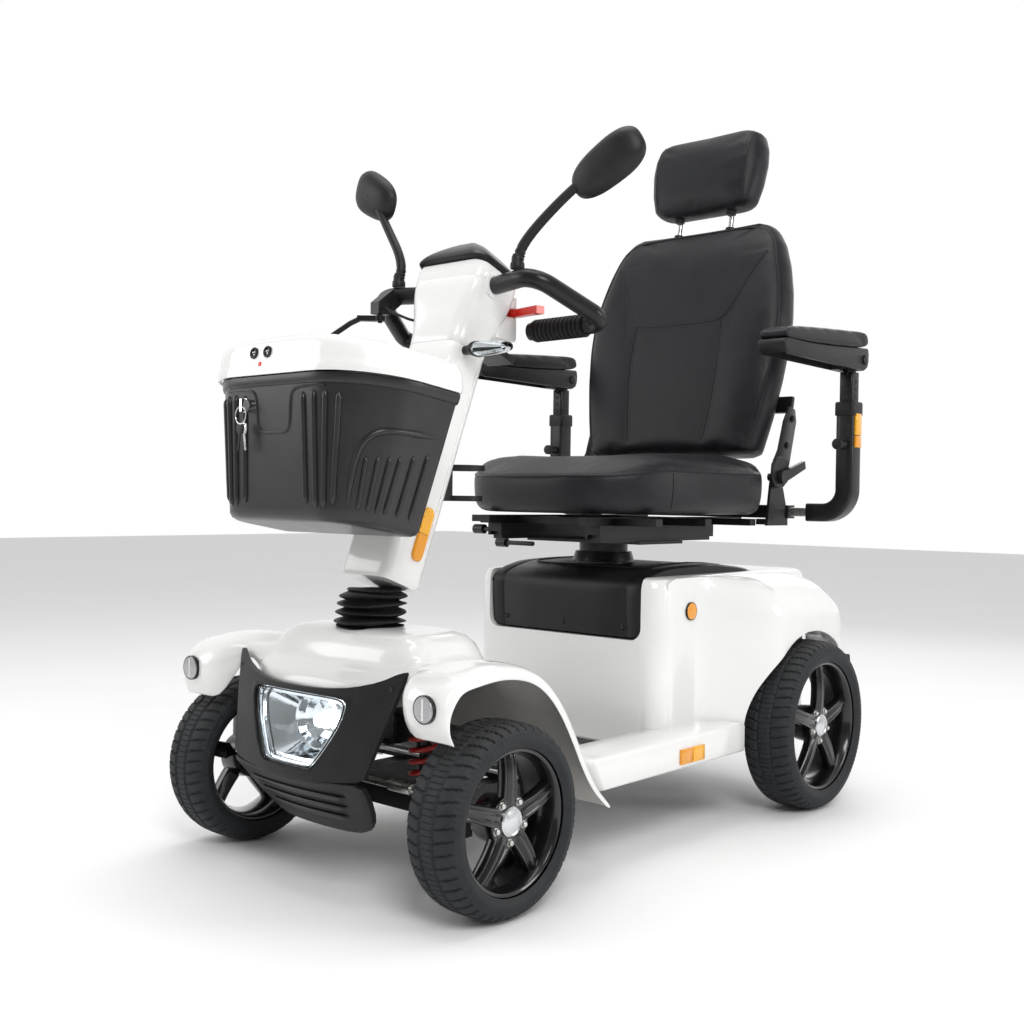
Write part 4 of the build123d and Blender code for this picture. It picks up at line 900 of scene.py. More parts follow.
def lid():
    """Domed lid with a straight skirt, a soft shoulder, and two round sockets with a plain mark."""
    tilt = math.radians(7)
    origin = Vector((0, -.446, .788))
    plan = basket_plan(.216, .214, .116)

    def ring(scale, height, shift=0.0, up=1.0):
        out = []
        for x, y in plan:
            x, y = x * scale, -0.107 + (y + 0.107) * scale + shift
            high = height - 0.010 * (x / 0.216) ** 2 * up
            out.append(origin + Vector((x, y * math.cos(tilt) + high * math.sin(tilt),
                                        high * math.cos(tilt) - y * math.sin(tilt))))
        return out

    rows = [(0.978, 0.003, 0, 0), (0.985, 0.0006, 0, 0), (1.0, 0.0006, 0, 0), (1.006, 0.004, 0, 0),
            (1.006, 0.013, 0, 0),
            (1.0, 0.016, 0, 0), (0.997, 0.024, 0, .1), (0.988, 0.037, -0.001, .3),
            (0.962, 0.0485, -0.003, .6),
            (0.91, 0.0560, -0.006, .8), (0.85, 0.0595, -0.008, 1), (0.835, 0.0592, -0.0085, 1),
            (0.81, 0.0612, -0.009, 1),
            (0.66, 0.0640, -0.011, 1), (0.5, 0.0660, -0.012, 1), (0.3, 0.0672, -0.012, 1),
            (0.12, 0.0675, -0.012, 1),
            (0.01, 0.0675, -0.012, 1)]
    obj = piece("lid", *loft([ring(*row) for row in rows]), "white_shell", "basket_lid", angle=60,
                replaces=("basket_lid",))
    nearest = skin(obj)
    for number, x in enumerate((-.046, -.012)):
        guess = origin + Vector((x, -.222 * math.cos(tilt) + .036 * math.sin(tilt),
                                 .036 * math.cos(tilt) + .222 * math.sin(tilt)))
        foot = nearest(guess, -.0005)
        piece(f"lid_socket_{number + 1}", *turned([(0, .0092), (.0028, .0092), (.0038, .0080),
                (.0032, .0060), (.0010, .0050), (.0008, .0004)],
                foot, nearest(guess, .01) - foot, 28), "black_satin", "basket_lid")
        holes = [turned([(0, .0011), (.0022, .0010), (.0023, .0002)],
                        foot + Vector((.0026 * math.cos(a), 0, .0026 * math.sin(a))),
                        nearest(guess, .01) - foot, 10)
                 for a in (.6, 2.7, 4.8)]
        piece(f"lid_socket_pins_{number + 1}", *joined(*holes), "silver", "basket_lid")
    guess = origin + Vector((-.029, -.225, .046))
    foot = nearest(guess, -.0005)
    piece("lid_mark", *turned([(0, .0042), (.0012, .0040), (.0016, .0030), (.0017, .0004)], foot,
                              nearest(guess, .01) - foot, 20), "red_plastic", "basket_lid")


basket()
lid()


# ---------------------------------------------------------------- tiller
def rounded_plan(width, depth, radius, arc=6, side=4):
    """Rounded rectangle outline as (x, y) pairs with the same count for every size."""
    points = []
    corners = ((1, 1, 0), (-1, 1, 90), (-1, -1, 180), (1, -1, 270))
    for number, (sx, sy, start) in enumerate(corners):
        cx, cy = sx * (width / 2 - radius), sy * (depth / 2 - radius)
        for k in range(arc + 1):
            a = math.radians(start + 90 * k / arc)
            points.append((cx + radius * math.cos(a), cy + radius * math.sin(a)))
        nx, ny, after = corners[(number + 1) % 4]
        a = math.radians(start + 90)
        first = (cx + radius * math.cos(a), cy + radius * math.sin(a))
        b = math.radians(after)
        last = (nx * (width / 2 - radius) + radius * math.cos(b),
                ny * (depth / 2 - radius) + radius * math.sin(b))
        for k in range(1, side):
            points.append((first[0] + (last[0] - first[0]) * k / side,
                           first[1] + (last[1] - first[1]) * k / side))
    return points


def tiller_rings(rows, frame_point=tiller):
    return [[frame_point(x, y + shift, up) for x, y in rounded_plan(w, d, r)]
            for w, d, r, shift, up in rows]


def column():
    """White column with a fine line down each side, the flared head and the console hood."""
    rows = [(.112, .086, .016, 0, -.003), (.118, .092, .018, 0, .004)]
    rows += [(.118, .092, .018, 0, .004 + .424 * k / 10) for k in range(1, 11)]
    rows.append((.116, .090, .018, 0, .4300))
    piece("column", *loft(tiller_rings(rows)), "white_shell", "tiller", angle=40,
          replaces=("tiller_column",))
    for sign in (1, -1):
        path = [tiller(sign * .0592, .028, .060), tiller(sign * .0592, .028, .41)]
        piece(f"column_line_{'left' if sign > 0 else 'right'}",
              *tube([path[0].lerp(path[1], k / 20) for k in range(21)],
                lambda t: 0.0016 * min(1, 12 * t + .1, 12 * (1 - t) + .1), 10), "white_shell", "tiller")
    rows = [(.116, .0915, .018, 0, .4301), (.118, .0925, .018, 0, .432), (.119, .0935, .018, 0, .445),
            (.124, .096, .019, 0, .462), (.133, .100, .020, 0, .480), (.146, .105, .021, 0, .500),
            (.156, .109, .022, 0, .518), (.162, .1115, .022, 0, .534), (.1645, .112, .022, 0, .5455),
            (.1625, .1105, .021, 0, .5475), (.165, .112, .022, 0, .5505), (.165, .112, .022, 0, .570),
            (.162, .110, .023, 0, .5800), (.150, .100, .021, 0, .5848)]
    piece("head", *loft(tiller_rings(rows)), "white_shell", "tiller", angle=34, replaces=("tiller_head",))
    rows = [(.160, .108, .026, -.002, .5840), (.170, .118, .028, -.003, .5853),
            (.174, .122, .030, -.003, .588)]
    for k in range(13):
        t = k / 12
        rear_side = .0592 - .0545 * t
        front_side = -.0635 + .030 * t ** 1.5
        wide = .174 - .106 * t ** 1.25
        rows.append((wide, rear_side - front_side, .030 - .008 * t, (rear_side + front_side) / 2,
                     .5895 + .0415 * t))
    rows += [(.058, .032, .014, -.016, .6322), (.034, .018, .008, -.016, .6328),
             (.004, .003, .001, -.016, .6330)]
    piece("hood", *loft(tiller_rings(rows)), "black_satin", "tiller", angle=50, replaces=("console_hood",))
    for sign, hand in SIDES:
        piece(f"boss_{hand}", *turned([(0, .0225), (.004, .0235), (.008, .0225), (.0095, .0195),
                (.0095, .016)],
                                      (sign * .076, -.238, 1.001), (sign, 0, 0), 40), "white_shell",
              "tiller")
    parts = []
    for low, high in ((.9125, .9556), (.9704, .9935)):
        plan = [(-.070, -.215), (.070, -.215), (.066, -.160), (.055, -.1485), (-.055, -.1485),
                (-.066, -.160)]
        parts.append(prism(plan, low, high, "z"))
    parts.append(lathe([(.950, .004), (.976, .004)], (0, -.160, 0), "z", 16))
    piece("pod", *joined(*parts), "white_shell", "tiller", bevel=0.005, segments=3, angle=45)
    parts = [prism([(-.192, .914), (-.190, .904), (-.178, .896), (-.168, .904), (-.166, .914)], x, x + .007)
             for x in (-.041, .034)]
    parts.append(lathe([(-.038, .003), (.038, .003)], (0, -.177, .903), "x", 16))
    piece("paddle_lugs", *joined(*parts), "white_shell", "tiller", bevel=0.001)


column()


def indicators():
    """Clear cone lenses with a ribbed inside on black collars."""
    for sign, hand in SIDES:
        def cone(rows, count=32):
            rings = []
            for along, tall, deep in rows:
                rings.append([Vector((sign * along, -.287 + deep * math.cos(a), .884 + tall * math.sin(a)))
                              for a in (2 * math.pi * k / count for k in range(count))])
            return loft(rings)

        piece(f"indicator_base_{hand}", *cone([(.060, .008, .008), (.072, .0085, .0085), (.080, .011, .016),
                (.090, .0138, .0255),
                (.094, .0138, .0255), (.0945, .012, .022)]), "black_plastic", "tiller",
              replaces=("indicators",) if sign > 0 else ())
        piece(f"indicator_lens_{hand}", *cone([(.0948, .0128, .0240), (.110, .0125, .0230), (.135, .0112,
                .0195), (.155, .0096, .0140),
                (.164, .0070, .0090), (.168, .0030, .0040), (.1684, .0004, .0004)]), "clear_lens", "tiller")
        piece(f"indicator_core_{hand}", *cone([(.0950, .0110, .0200), (.112, .0095, .0170), (.130, .0060,
                .0110), (.150, .0030, .0050),
                (.156, .0004, .0004)], 10), "lamp_reflector", "tiller", angle=10)


indicators()


def mirror(hand, sign, elbow, neck, head, long_half, short_half):
    """Pebble-shaped head with a rolled rim, glass toward the rider, ball collar and bent stalk."""
    foot = Vector((sign * .148, -.252, 1.0205))
    route = rounded([foot + Vector((0, 0, .008)), Vector(elbow), Vector(neck), Vector(head)], 4)
    stalk = tube(route, lambda t: 0.0098 - 0.0026 * t + (0.0008 * math.sin(150 * t) if t < .30 else 0), 20)
    parts = [stalk, turned([(0, .0118), (.002, .0125), (.010, .0122), (.012, .0105), (.020, .0102),
                            (.026, .0078)],
                           foot, (0, 0, 1))]
    for share in (0.80, 0.86):
        point = route[int(share * (len(route) - 1))]
        parts.append(turned([(-.004, .0075), (-.003, .0098), (.003, .0098), (.004, .0075)], point,
                            route[-1] - route[-8], 24))
    piece(f"mirror_stalk_{hand}", *joined(*parts), "black_plastic", f"mirror_{hand}", angle=45,
          replaces=(f"mirror_{hand}",))
    across = Vector((sign * 0.88, 0, 0.47)).normalized()
    facing = Vector((sign * -0.12, 0.99, 0.1)).normalized()
    across = (across - facing * across.dot(facing)).normalized()
    upward = facing.cross(across)

    def ring(scale, depth, shift=0.0):
        out = []
        for x, y in oval(2 * long_half, 2 * short_half, 2.7, 56):
            taper = 1 + 0.10 * x / long_half
            spot = Vector(head) + across * (x * scale) + upward * (y * scale * taper + shift)
            out.append(spot + facing * depth)
        return out

    rows = [(.02, -.0135), (.35, -.0130), (.62, -.0105), (.80, -.0065), (.92, -.0010), (.985, .0055),
            (1.0, .0095),
            (.990, .0118), (.965, .0120), (.955, .0105)]
    piece(f"mirror_head_{hand}", *loft([ring(*row) for row in rows], cap=False), "black_plastic",
          f"mirror_{hand}", angle=60)
    piece(f"mirror_glass_{hand}", *loft([ring(.957, .0092)] + [ring(s, .0104) for s in (.957, .7, .4,
            .02)]), "mirror_glass", f"mirror_{hand}")


mirror("left", 1, (.156, -.249, 1.066), (.246, -.242, 1.136), (.324, -.240, 1.174), .0735, .0375)
mirror("right", -1, (-.140, -.250, 1.068), (-.196, -.240, 1.142), (-.243, -.234, 1.208), .0625, .042)


# ---------------------------------------------------------------- deck and rear body
def deck():
    """White sills with soft edges, floor pan and a tiled rubber mat."""
    for sign, hand in SIDES:
        rings = []
        section = [(.2055, .140), (.2055, .1890), (.2075, .1945), (.2120, .1965), (.240, .1965),
                   (.297, .1965),
                   (.3035, .1945), (.3062, .1890), (.3062, .1450), (.3040, .1400), (.2980, .1380),
                   (.250, .138)]
        for y in (-.196, -.190, -.150, -.05, .05, .15, .235, .262):
            row = []
            for x, z in section:
                lean = (z - .138) / .058 * -.030 if y < -.1 else 0
                inward = .008 if y == -.196 else 0
                row.append((sign * (x + (inward if x < .25 else -inward)), y + lean,
                            z + (inward if z < .165 else -inward) * .6))
            rings.append(row)
        piece(f"sill_{hand}", *loft(rings), "white_shell", "chassis", bevel=0.002, angle=45,
              replaces=("deck_shell",) if sign > 0 else ())
    piece("floor_pan", *prism([(-.262, .150), (-.262, .1555), (.062, .1555), (.062, .150)], -.2055, .2055),
          "white_shell", "chassis", bevel=0.001)
    parts = [block((-.198, -.255, .1564), (.198, .053, .1592))]
    for row in range(8):
        for place in range(10):
            x, y = -.1955 + .0392 * place, -.2525 + .0380 * row
            parts.append(block((x, y, .1590), (x + .0372, y + .0360, .1612)))
            for k in range(4):
                parts.append(block((x + .004 + .0082 * k, y + .004, .1611),
                                   (x + .0085 + .0082 * k, y + .032, .1619)))
    piece("mat", *joined(*parts), "floor_rubber", "chassis", bevel=0.0004, segments=1, angle=30,
          replaces=("floor_mat",))


deck()


def difference(obj, verts, faces):
    """Cut a plain shape out of a finished piece."""
    mesh = bpy.data.meshes.new("cutter")
    mesh.from_pydata([tuple(v) for v in verts], [], faces)
    work = bmesh.new()
    work.from_mesh(mesh)
    bmesh.ops.recalc_face_normals(work, faces=work.faces)
    work.to_mesh(mesh)
    work.free()
    tool = bpy.data.objects.new("cutter", mesh)
    bpy.context.scene.collection.objects.link(tool)
    cut = obj.modifiers.new("cut", "BOOLEAN")
    cut.operation = "DIFFERENCE"
    cut.solver = "EXACT"
    cut.object = tool
    finish_mesh(obj, 35)
    bpy.data.objects.remove(tool)


def rear_body():
    """White battery box, flared panels over the rear wheels, and the black lift-off cover."""
    rows = [(.463, .590, .040, .157), (.469, .596, .044, .161), (.469, .596, .045, .300),
            (.469, .595, .045, .455),
            (.463, .591, .044, .468), (.454, .582, .041, .4765), (.436, .564, .034, .4800),
            (.300, .430, .030, .4812),
            (.004, .004, .001, .4815)]
    rings = [[(x, y + .361, z) for x, y in rounded_plan(w, d, r)] for w, d, r, z in rows]
    shell = piece("rear_box", *loft(rings), "white_shell", "chassis", angle=50, replaces=("rear_shell",))
    outline_front = [(x, z + .460) for x, z in rounded_plan(.387, .200, .024, 8, 4)]
    verts, faces = prism(outline_front, .040, .4725, "y")
    difference(shell, verts, faces)
    crest = [(.070, .482), (.430, .482), (.490, .480), (.545, .472), (.590, .446), (.622, .412),
             (.640, .350),
             (.645, .306)]
    outline = [(.095, .158), (.095, .470), (.115, .4785), (.300, .480), (.430, .480), (.490, .480),
               (.545, .472),
               (.590, .446), (.623, .412), (.641, .350), (.6455, .306), (.630, .285), (.20, .158)]

    def crest_height(y):
        for (a, b), (c, d) in zip(crest, crest[1:]):
            if a <= y <= c:
                return b + (d - b) * (y - a) / (c - a)
        return crest[0][1] if y < crest[0][0] else crest[-1][1]

    centre = (REAR["y"], REAR["radius"])
    for sign, hand in SIDES:
        start, stop = math.radians(184.3), math.radians(34.2)
        rows = []
        for k in range(145):
            angle = start + (stop - start) * k / 144
            far = max(reach(outline, centre, angle), .1915)
            row = []
            for inner, inward in ((.190, .060), (.190, .020), (.190, .004), (.1915, .0006)):
                row.append((inner, inward))
            for step in range(1, 45):
                row.append((.1915 + (far - .1915) * step / 44, None))
            ring = []
            for radius, inward in row:
                y, z = centre[0] + radius * math.cos(angle), centre[1] + radius * math.sin(angle)
                below = crest_height(y) - z
                blend = 0.090 - 0.035 * smoothstep(.50, .62, y)
                rise = math.sqrt(max(0, 1 - (1 - min(1, max(0, below) / blend)) ** 2))
                flare = smoothstep(.180, .350, y) * (1 - .22 * smoothstep(.56, .66, y))
                x = .2325 + .0028 * smoothstep(.095, .112, y) + .1090 * flare * rise
                if inward is not None:
                    x -= inward
                ring.append(Vector((sign * x, y, z)))
            y, z = ring[-1].y, ring[-1].z
            ring.append(Vector((sign * .2318, y, z)))
            rows.append(ring)
        piece(f"rear_fender_{hand}", *loft(rows, closed=False, cap=False), "white_shell", "chassis",
              angle=50)
        piece(f"mud_flap_{hand}", *prism([(.626, .286), (.650, .300), (.654, .286), (.640, .250),
                (.628, .245)],
                sign * .262, sign * .336), "black_plastic", "chassis", bevel=0.003)
    rows = []
    profile = through([(0, .0705, .364), (0, .066, .420), (0, .0655, .452), (0, .072, .470),
                       (0, .088, .480), (0, .120, .489),
                       (0, .170, .4965), (0, .300, .4995), (0, .400, .493), (0, .458, .485),
                       (0, .468, .478)], 4)
    for x, sink in ((-0.1915, 0.01), (-0.1905, 0.004), (-0.186, 0.0008), (-0.176, 0), (-0.16, 0),
                    (-0.157, 0.0018), (-0.154, 0), (-0.08, 0), (0, 0), (0.08, 0), (0.154, 0),
                    (0.157, 0.0018), (0.16, 0), (0.176, 0), (0.186, 0.0008), (0.1905, 0.004),
                    (0.1915, 0.01)):
        corner = min(1, max(0, (abs(x) - .1675) / .0245))
        low = .364 + .024 * (1 - math.sqrt(1 - corner * corner))
        rows.append([(x, p.y + sink * (p.z < .46), max(low, p.z - sink * (p.z >= .46))) for p in profile]
                    + [(x, .4645, .440), (x, .080, .440), (x, .080, low)])
    piece("box_cover", *loft(rows), "black_plastic", "chassis", angle=40, replaces=("seat_box_cover",))
    loop = [(x, y + .290) for x, y in rounded_plan(.290, .300, .030)]

    def cover_height(y):
        for a, b in zip(profile, profile[1:]):
            if a.y <= y <= b.y:
                return a.z + (b.z - a.z) * (y - a.y) / max(1e-9, b.y - a.y)
        return .49

    path = [(x, y, cover_height(y) + .0002) for x, y in loop]
    piece("cover_rim", *tube(path + path[:1], 0.0024, 8, cap=False), "black_plastic", "chassis")
    for number, x in enumerate((-.150, 0, .150)):
        piece(f"cover_screw_{number + 1}", *lathe([(0, .0062), (.002, .0060), (.0028, .0045),
                (.0014, .0030), (.0014, .0004)],
                (x, .0702, .384), "y", 20, sign=-1), "black_satin", "chassis")


rear_body()


# ---------------------------------------------------------------- reflectors and lamps
def disc_lens(name, centre, direction, radius, material, rim=True, bar=False):
    piece(name, *turned([(-.004, radius * .95), (.0015, radius * .95), (.0030, radius * .88),
                         (.0036, radius * .5),
                         (.0038, .0004)], centre, direction, 40), material, "chassis")
    if rim:
        piece(name + "_rim", *turned([(-.004, radius), (.0020, radius), (.0026, radius * .97),
                (.0020, radius * .93),
                                      (.0, radius * .93)], centre, direction, 40), "black_satin", "chassis")
    if bar:
        place = Vector(centre) + Vector(direction).normalized() * .0036
        piece(name + "_bar", *block(place + Vector((-.0014, -.0008, -radius * .72)),
                                    place + Vector((.0014, .0008, radius * .72))), "white_mark", "chassis",
              bevel=0.0004)


def lights():
    """Round reflectors and lamps on the body, and strips on the sills and the tiller, each half amber and
    half paler amber with a painted highlight.
    """
    for sign, hand in SIDES:
        disc_lens(f"front_reflector_{hand}", (sign * .290, -.6005, .324), (0, -1, 0), .021,
                  "reflector_grey", bar=True)
        disc_lens(f"side_reflector_{hand}", (sign * .2372, .170, .414), (sign, 0, 0), .0175, "amber")
        # sill reflector: front block amber, rear block paler amber as a painted highlight
        for number, (low, high, material) in enumerate(((.033, .0715, "amber"),
                (.0725, .111, "amber_pale"))):
            piece(f"sill_reflector_{hand}_{number + 1}",
                  *block((sign * .3055, low, .148), (sign * .3110, high, .176)), material, "chassis",
                  bevel=0.0016)
        piece(f"rear_lamp_{hand}", *lathe([(-.004, .024), (.004, .024), (.006, .021), (.0068, .010),
                (.007, .0004)],
                (sign * .160, .6602, .400), "y", 40), "red_lens", "chassis",
              replaces=("lights_and_reflectors",) if sign > 0 else ())
        # tiller reflector: lower half amber, upper half paler amber as a painted highlight
        for number, (low, high, material) in enumerate(((.0, .5, "amber"), (.5, 1.0, "amber_pale"))):
            rings = []
            outline = rounded_plan(.096, .024, .0118, 6, 3)
            chosen = [(max(low * .096 - .048 + .0006, min(high * .096 - .048 - .0006, a)), b)
                      for a, b in outline]
            for depth, scale in ((-.003, 1), (.003, 1), (.0048, .86), (.0050, .4)):
                rings.append([tiller(sign * (.0592 + depth), .010 + b * scale,
                        .090 + a * (.97 if scale < 1 else 1))
                              for a, b in chosen])
            piece(f"tiller_reflector_{hand}_{number + 1}", *loft(rings), material, "tiller", angle=30,
                  replaces=("tiller_reflectors",) if (sign > 0 and number == 0) else ())


lights()


# ---------------------------------------------------------------- soft parts
def flat_outline(points, count=120, times=3):
    """Smooth closed outline in even steps."""
    line = rounded([(x, y, 0) for x, y in points], times, closed=True)
    line.append(line[0])
    marks = [0.0]
    for a, b in zip(line, line[1:]):
        marks.append(marks[-1] + (b - a).length)
    out = []
    place = 0
    for k in range(count):
        want = marks[-1] * k / count
        while marks[place + 1] < want:
            place += 1
        share = (want - marks[place]) / (marks[place + 1] - marks[place])
        out.append(line[place].lerp(line[place + 1], share))
    return out


def stuffed(obj, cell, cap, held, pressure=4.0):
    """Remesh evenly and let cloth under pressure fill the cover between the held points."""
    remesh = obj.modifiers.new("even", "REMESH")
    remesh.mode = "VOXEL"
    remesh.voxel_size = cell
    finish_mesh(obj, 180)
    start = [v.co.copy() for v in obj.data.vertices]
    group = obj.vertex_groups.new(name="held")
    group.add([i for i, co in enumerate(start) if held(co)], 1.0, "REPLACE")
    cloth = obj.modifiers.new("cloth", "CLOTH")
    cloth.settings.quality = 5
    cloth.settings.mass = 0.25
    cloth.settings.tension_stiffness = 22
    cloth.settings.compression_stiffness = 12
    cloth.settings.bending_stiffness = 0.4
    cloth.settings.use_pressure = True
    cloth.settings.uniform_pressure_force = pressure
    cloth.settings.effector_weights.gravity = 0
    cloth.settings.vertex_group_mass = "held"
    cloth.point_cache.frame_start = 1
    cloth.point_cache.frame_end = 20
    scene = bpy.context.scene
    for number in range(1, 21):
        scene.frame_set(number)
    shape = obj.evaluated_get(bpy.context.evaluated_depsgraph_get()).to_mesh()
    after = [v.co.copy() for v in shape.vertices]
    obj.modifiers.clear()
    for vertex, a, b in zip(obj.data.vertices, start, after):
        move = b - a
        vertex.co = a + move * min(1, cap / max(1e-9, move.length))
    scene.frame_set(1)


def smooth_soft(obj):
    relax = obj.modifiers.new("relax", "SMOOTH")
    relax.factor = 0.5
    relax.iterations = 2
    smooth = obj.modifiers.new("smooth", "SUBSURF")
    smooth.levels = 1
    smooth.render_levels = 1
    finish_mesh(obj, 180)


def soft(name, rings, body, node, cell, cap, held):
    obj = piece(name, *loft(rings), "vinyl", body, angle=180, replaces=(node,))
    stuffed(obj, cell, cap, held)
    smooth_soft(obj)
    return obj


def piping(name, nearest, route, body, radius=0.0024, lift=0.0008, material="vinyl"):
    path = [nearest(p, lift) for p in route]
    for _ in range(2):
        path = [path[0]] + [(a + b * 2 + c) / 4 for a, b, c in zip(path, path[1:], path[2:])] + [path[-1]]
    piece(name, *tube(path, radius, 8), material, body)
    return path


def stitches(name, nearest, route, body, gap=0.0065, long=0.0044, lift=0.0003, radius=0.00055):
    """Row of separate stitches lying on the cover."""
    path = [nearest(p, lift) for p in route]
    parts, along, due = [], 0.0, 0.0
    for a, b in zip(path, path[1:]):
        step = (b - a).length
        while due < along + step:
            start = a.lerp(b, (due - along) / step)
            way = (b - a).normalized()
            parts.append(tube([start, start + way * long * 0.5, start + way * long],
                              lambda t: radius * (0.45 + 0.55 * math.sin(math.pi * t)), 5))
            due += gap
        along += step
    piece(name, *joined(*parts), "stitching", body, angle=180)


SEAT_PLAN = flat_outline([(-.240, .432), (.240, .432), (.254, .400), (.259, .300), (.257, .180),
                          (.238, .080),
                          (.196, .005), (.120, -.040), (0, -.046), (-.120, -.040), (-.196, .005),
                          (-.238, .080),
                          (-.257, .180), (-.259, .300), (-.254, .400)])


def seat():
    """Cushion with raised side bolsters, a dropped front edge, a piped seam and double stitching."""
    middle = Vector((0, .200, 0))

    def ring(scale, z, pull=0.0):
        out = []
        for p in SEAT_PLAN:
            q = middle + (p - middle) * scale
            q -= (p - middle).normalized() * pull
            side = smoothstep(.140, .225, abs(q.x))
            high = z + (.006 * side - .022 * smoothstep(-.02, 1,
                    (.10 - q.y) / .14) * (q.y < .10)) * (z > .68)
            out.append(Vector((q.x, q.y, high)))
        return out

    rings = [ring(.05, .600), ring(.5, .600), ring(.85, .600), ring(1, .600, .030), ring(1, .6025, .019),
             ring(1, .608, .010), ring(1, .618, .004), ring(1, .635, .001), ring(1, .655), ring(1, .672),
             ring(1, .682, .0015),
             ring(1, .689, .005), ring(1, .698, .010),
             ring(1, .704, .020), ring(1, .7075, .036), ring(.80, .7080), ring(.62, .7065), ring(.4, .7050),
             ring(.2, .7045), ring(.02, .7045)]

    def seam_height(co):
        return .6845 - (.022 * smoothstep(-.02, 1, (.10 - co.y) / .14) if co.y < .10 else 0) * .5

    def held(co):
        return co.z < .612 or abs(co.z - seam_height(co)) < .0035 and (abs(co.x) > .13 or co.y < .06
                or co.y > .40)

    obj = soft("cushion", rings, "seat", "seat_cushion", .0065, .010, held)
    nearest = skin(obj)
    route = [Vector((p.x * 1.01, p.y, seam_height(p))) for p in SEAT_PLAN]
    piping("cushion_piping", nearest, route + route[:2], "seat")
    for number, (drop, inward) in enumerate(((.0085, 0), (-.0055, .006))):
        row = [Vector((p.x, p.y, q.z - drop)) - (p - middle).normalized() * inward
               for p, q in zip(SEAT_PLAN, route)]
        stitches(f"cushion_stitch_{number + 1}", nearest, row + row[:1], "seat")
    for number, place in enumerate((41, 79)):
        point = SEAT_PLAN[place % len(SEAT_PLAN)]
        route = [Vector((point.x, point.y, .606 + .0035 * k)) for k in range(22)]
        piping(f"cushion_seam_{number + 1}", nearest, route, "seat", .0011, .0002)


seat()


def pad_shape(rows):
    """Rings of a padded board in the backrest frame: width, depth, radius, shift and height for each."""
    return [[back(x, y + shift, up) for x, y in rounded_plan(w, d, r, 8, 8)] for w, d, r, shift, up in rows]


def from_back(point):
    """Backrest-frame coordinates of a world point."""
    p = point - BACK_FOOT
    c, s = math.cos(BACK_LEAN), math.sin(BACK_LEAN)
    return Vector((p.x, p.y * c - p.z * s, p.y * s + p.z * c))


def backrest():
    """Reclining back with side bolsters, a stitched yoke across the shoulders and long side seams."""
    rows = [(.400, .060, .028, -.006, .004), (.434, .082, .034, -.006, .012),
            (.442, .088, .038, -.006, .030),
            (.468, .090, .040, -.007, .090), (.492, .094, .042, -.009, .170),
            (.508, .096, .044, -.010, .250),
            (.508, .096, .044, -.010, .310), (.494, .090, .042, -.008, .370),
            (.466, .083, .038, -.005, .430),
            (.430, .074, .034, -.002, .480), (.396, .066, .030, 0, .508), (.372, .058, .027, 0, .521),
            (.330, .042, .020, 0, .530)]
    rings = pad_shape(rows)

    def edge_at(up):
        for (w, _, _, _, a), (v, _, _, _, b) in zip(rows, rows[1:]):
            if a <= up <= b:
                return (w + (v - w) * (up - a) / (b - a)) / 2
        return .2

    yoke = [(-.206, .462), (-.178, .425), (-.152, .372), (-.134, .326), (-.116, .302), (-.090, .296),
            (.090, .296),
            (.116, .302), (.134, .326), (.152, .372), (.178, .425), (.206, .462)]
    lines = [rounded([(x, 0, z) for x, z in yoke], 2)]
    for sign in (1, -1):
        lines.append([Vector((sign * x, 0, z))
                      for x, z in ((.112, .300), (.114, .23), (.112, .15), (.105, .08),
                (.099, .03))])

    def near(co, line, limit):
        best = 1.0
        for a, b in zip(line, line[1:]):
            way = b - a
            t = min(1, max(0, (co - a).dot(way) / way.dot(way)))
            best = min(best, (a + way * t - co).length)
        return best < limit

    def held(co):
        p = from_back(co)
        flat = Vector((p.x, 0, p.z))
        if p.y > .012:
            return True
        if abs(abs(p.x) - edge_at(p.z) + .010) < .004 and p.y < 0 and p.z > .02:
            return True
        return p.y < 0 and any(near(flat, line, .0042) for line in lines)

    obj = soft("back_cushion", rings, "backrest", "backrest", .0065, .012, held)
    nearest = skin(obj)

    def front(x, z):
        return back(x, -.075, z)

    fine = [through(lines[0], 3)] + [through(line, 10) for line in lines[1:]]
    for number, line in enumerate(fine):
        route = [front(p.x, p.z) for p in line]
        piping(f"back_seam_{number + 1}", nearest, route, "backrest", .0011, .0001)
        for row, shift in enumerate((-.005, .005)):
            moved = []
            for k, p in enumerate(line):
                way = line[min(k + 1, len(line) - 1)] - line[max(k - 1, 0)]
                normal = Vector((way.z, 0, -way.x)).normalized()
                moved.append(front(p.x + normal.x * shift, p.z + normal.z * shift))
            stitches(f"back_stitch_{number + 1}_{row + 1}", nearest, moved, "backrest")
    rim = []
    for k in range(61):
        a = math.pi * k / 60
        up = .02 + .50 * min(1, math.sin(a) * 1.9)
        rim.append((edge_at(min(.520, up)) - .010, up))
    path = []
    for k in range(40):
        up = .02 + .49 * k / 39
        path.append((edge_at(up) - .008, up))
    top = [(x, .522 - .004 * abs(x) / .17) for x in [.165 - .33 * k / 20 for k in range(21)]]
    loop = [back(x, -.044 + .012 * (z > .45), z) for x, z in path]
    loop += [back(x, -.030, z) for x, z in top]
    loop += [back(-x, -.044 + .012 * (z > .45), z) for x, z in reversed(path)]
    piping("back_piping", nearest, loop, "backrest", .0024, .0006)
    return obj


backrest()


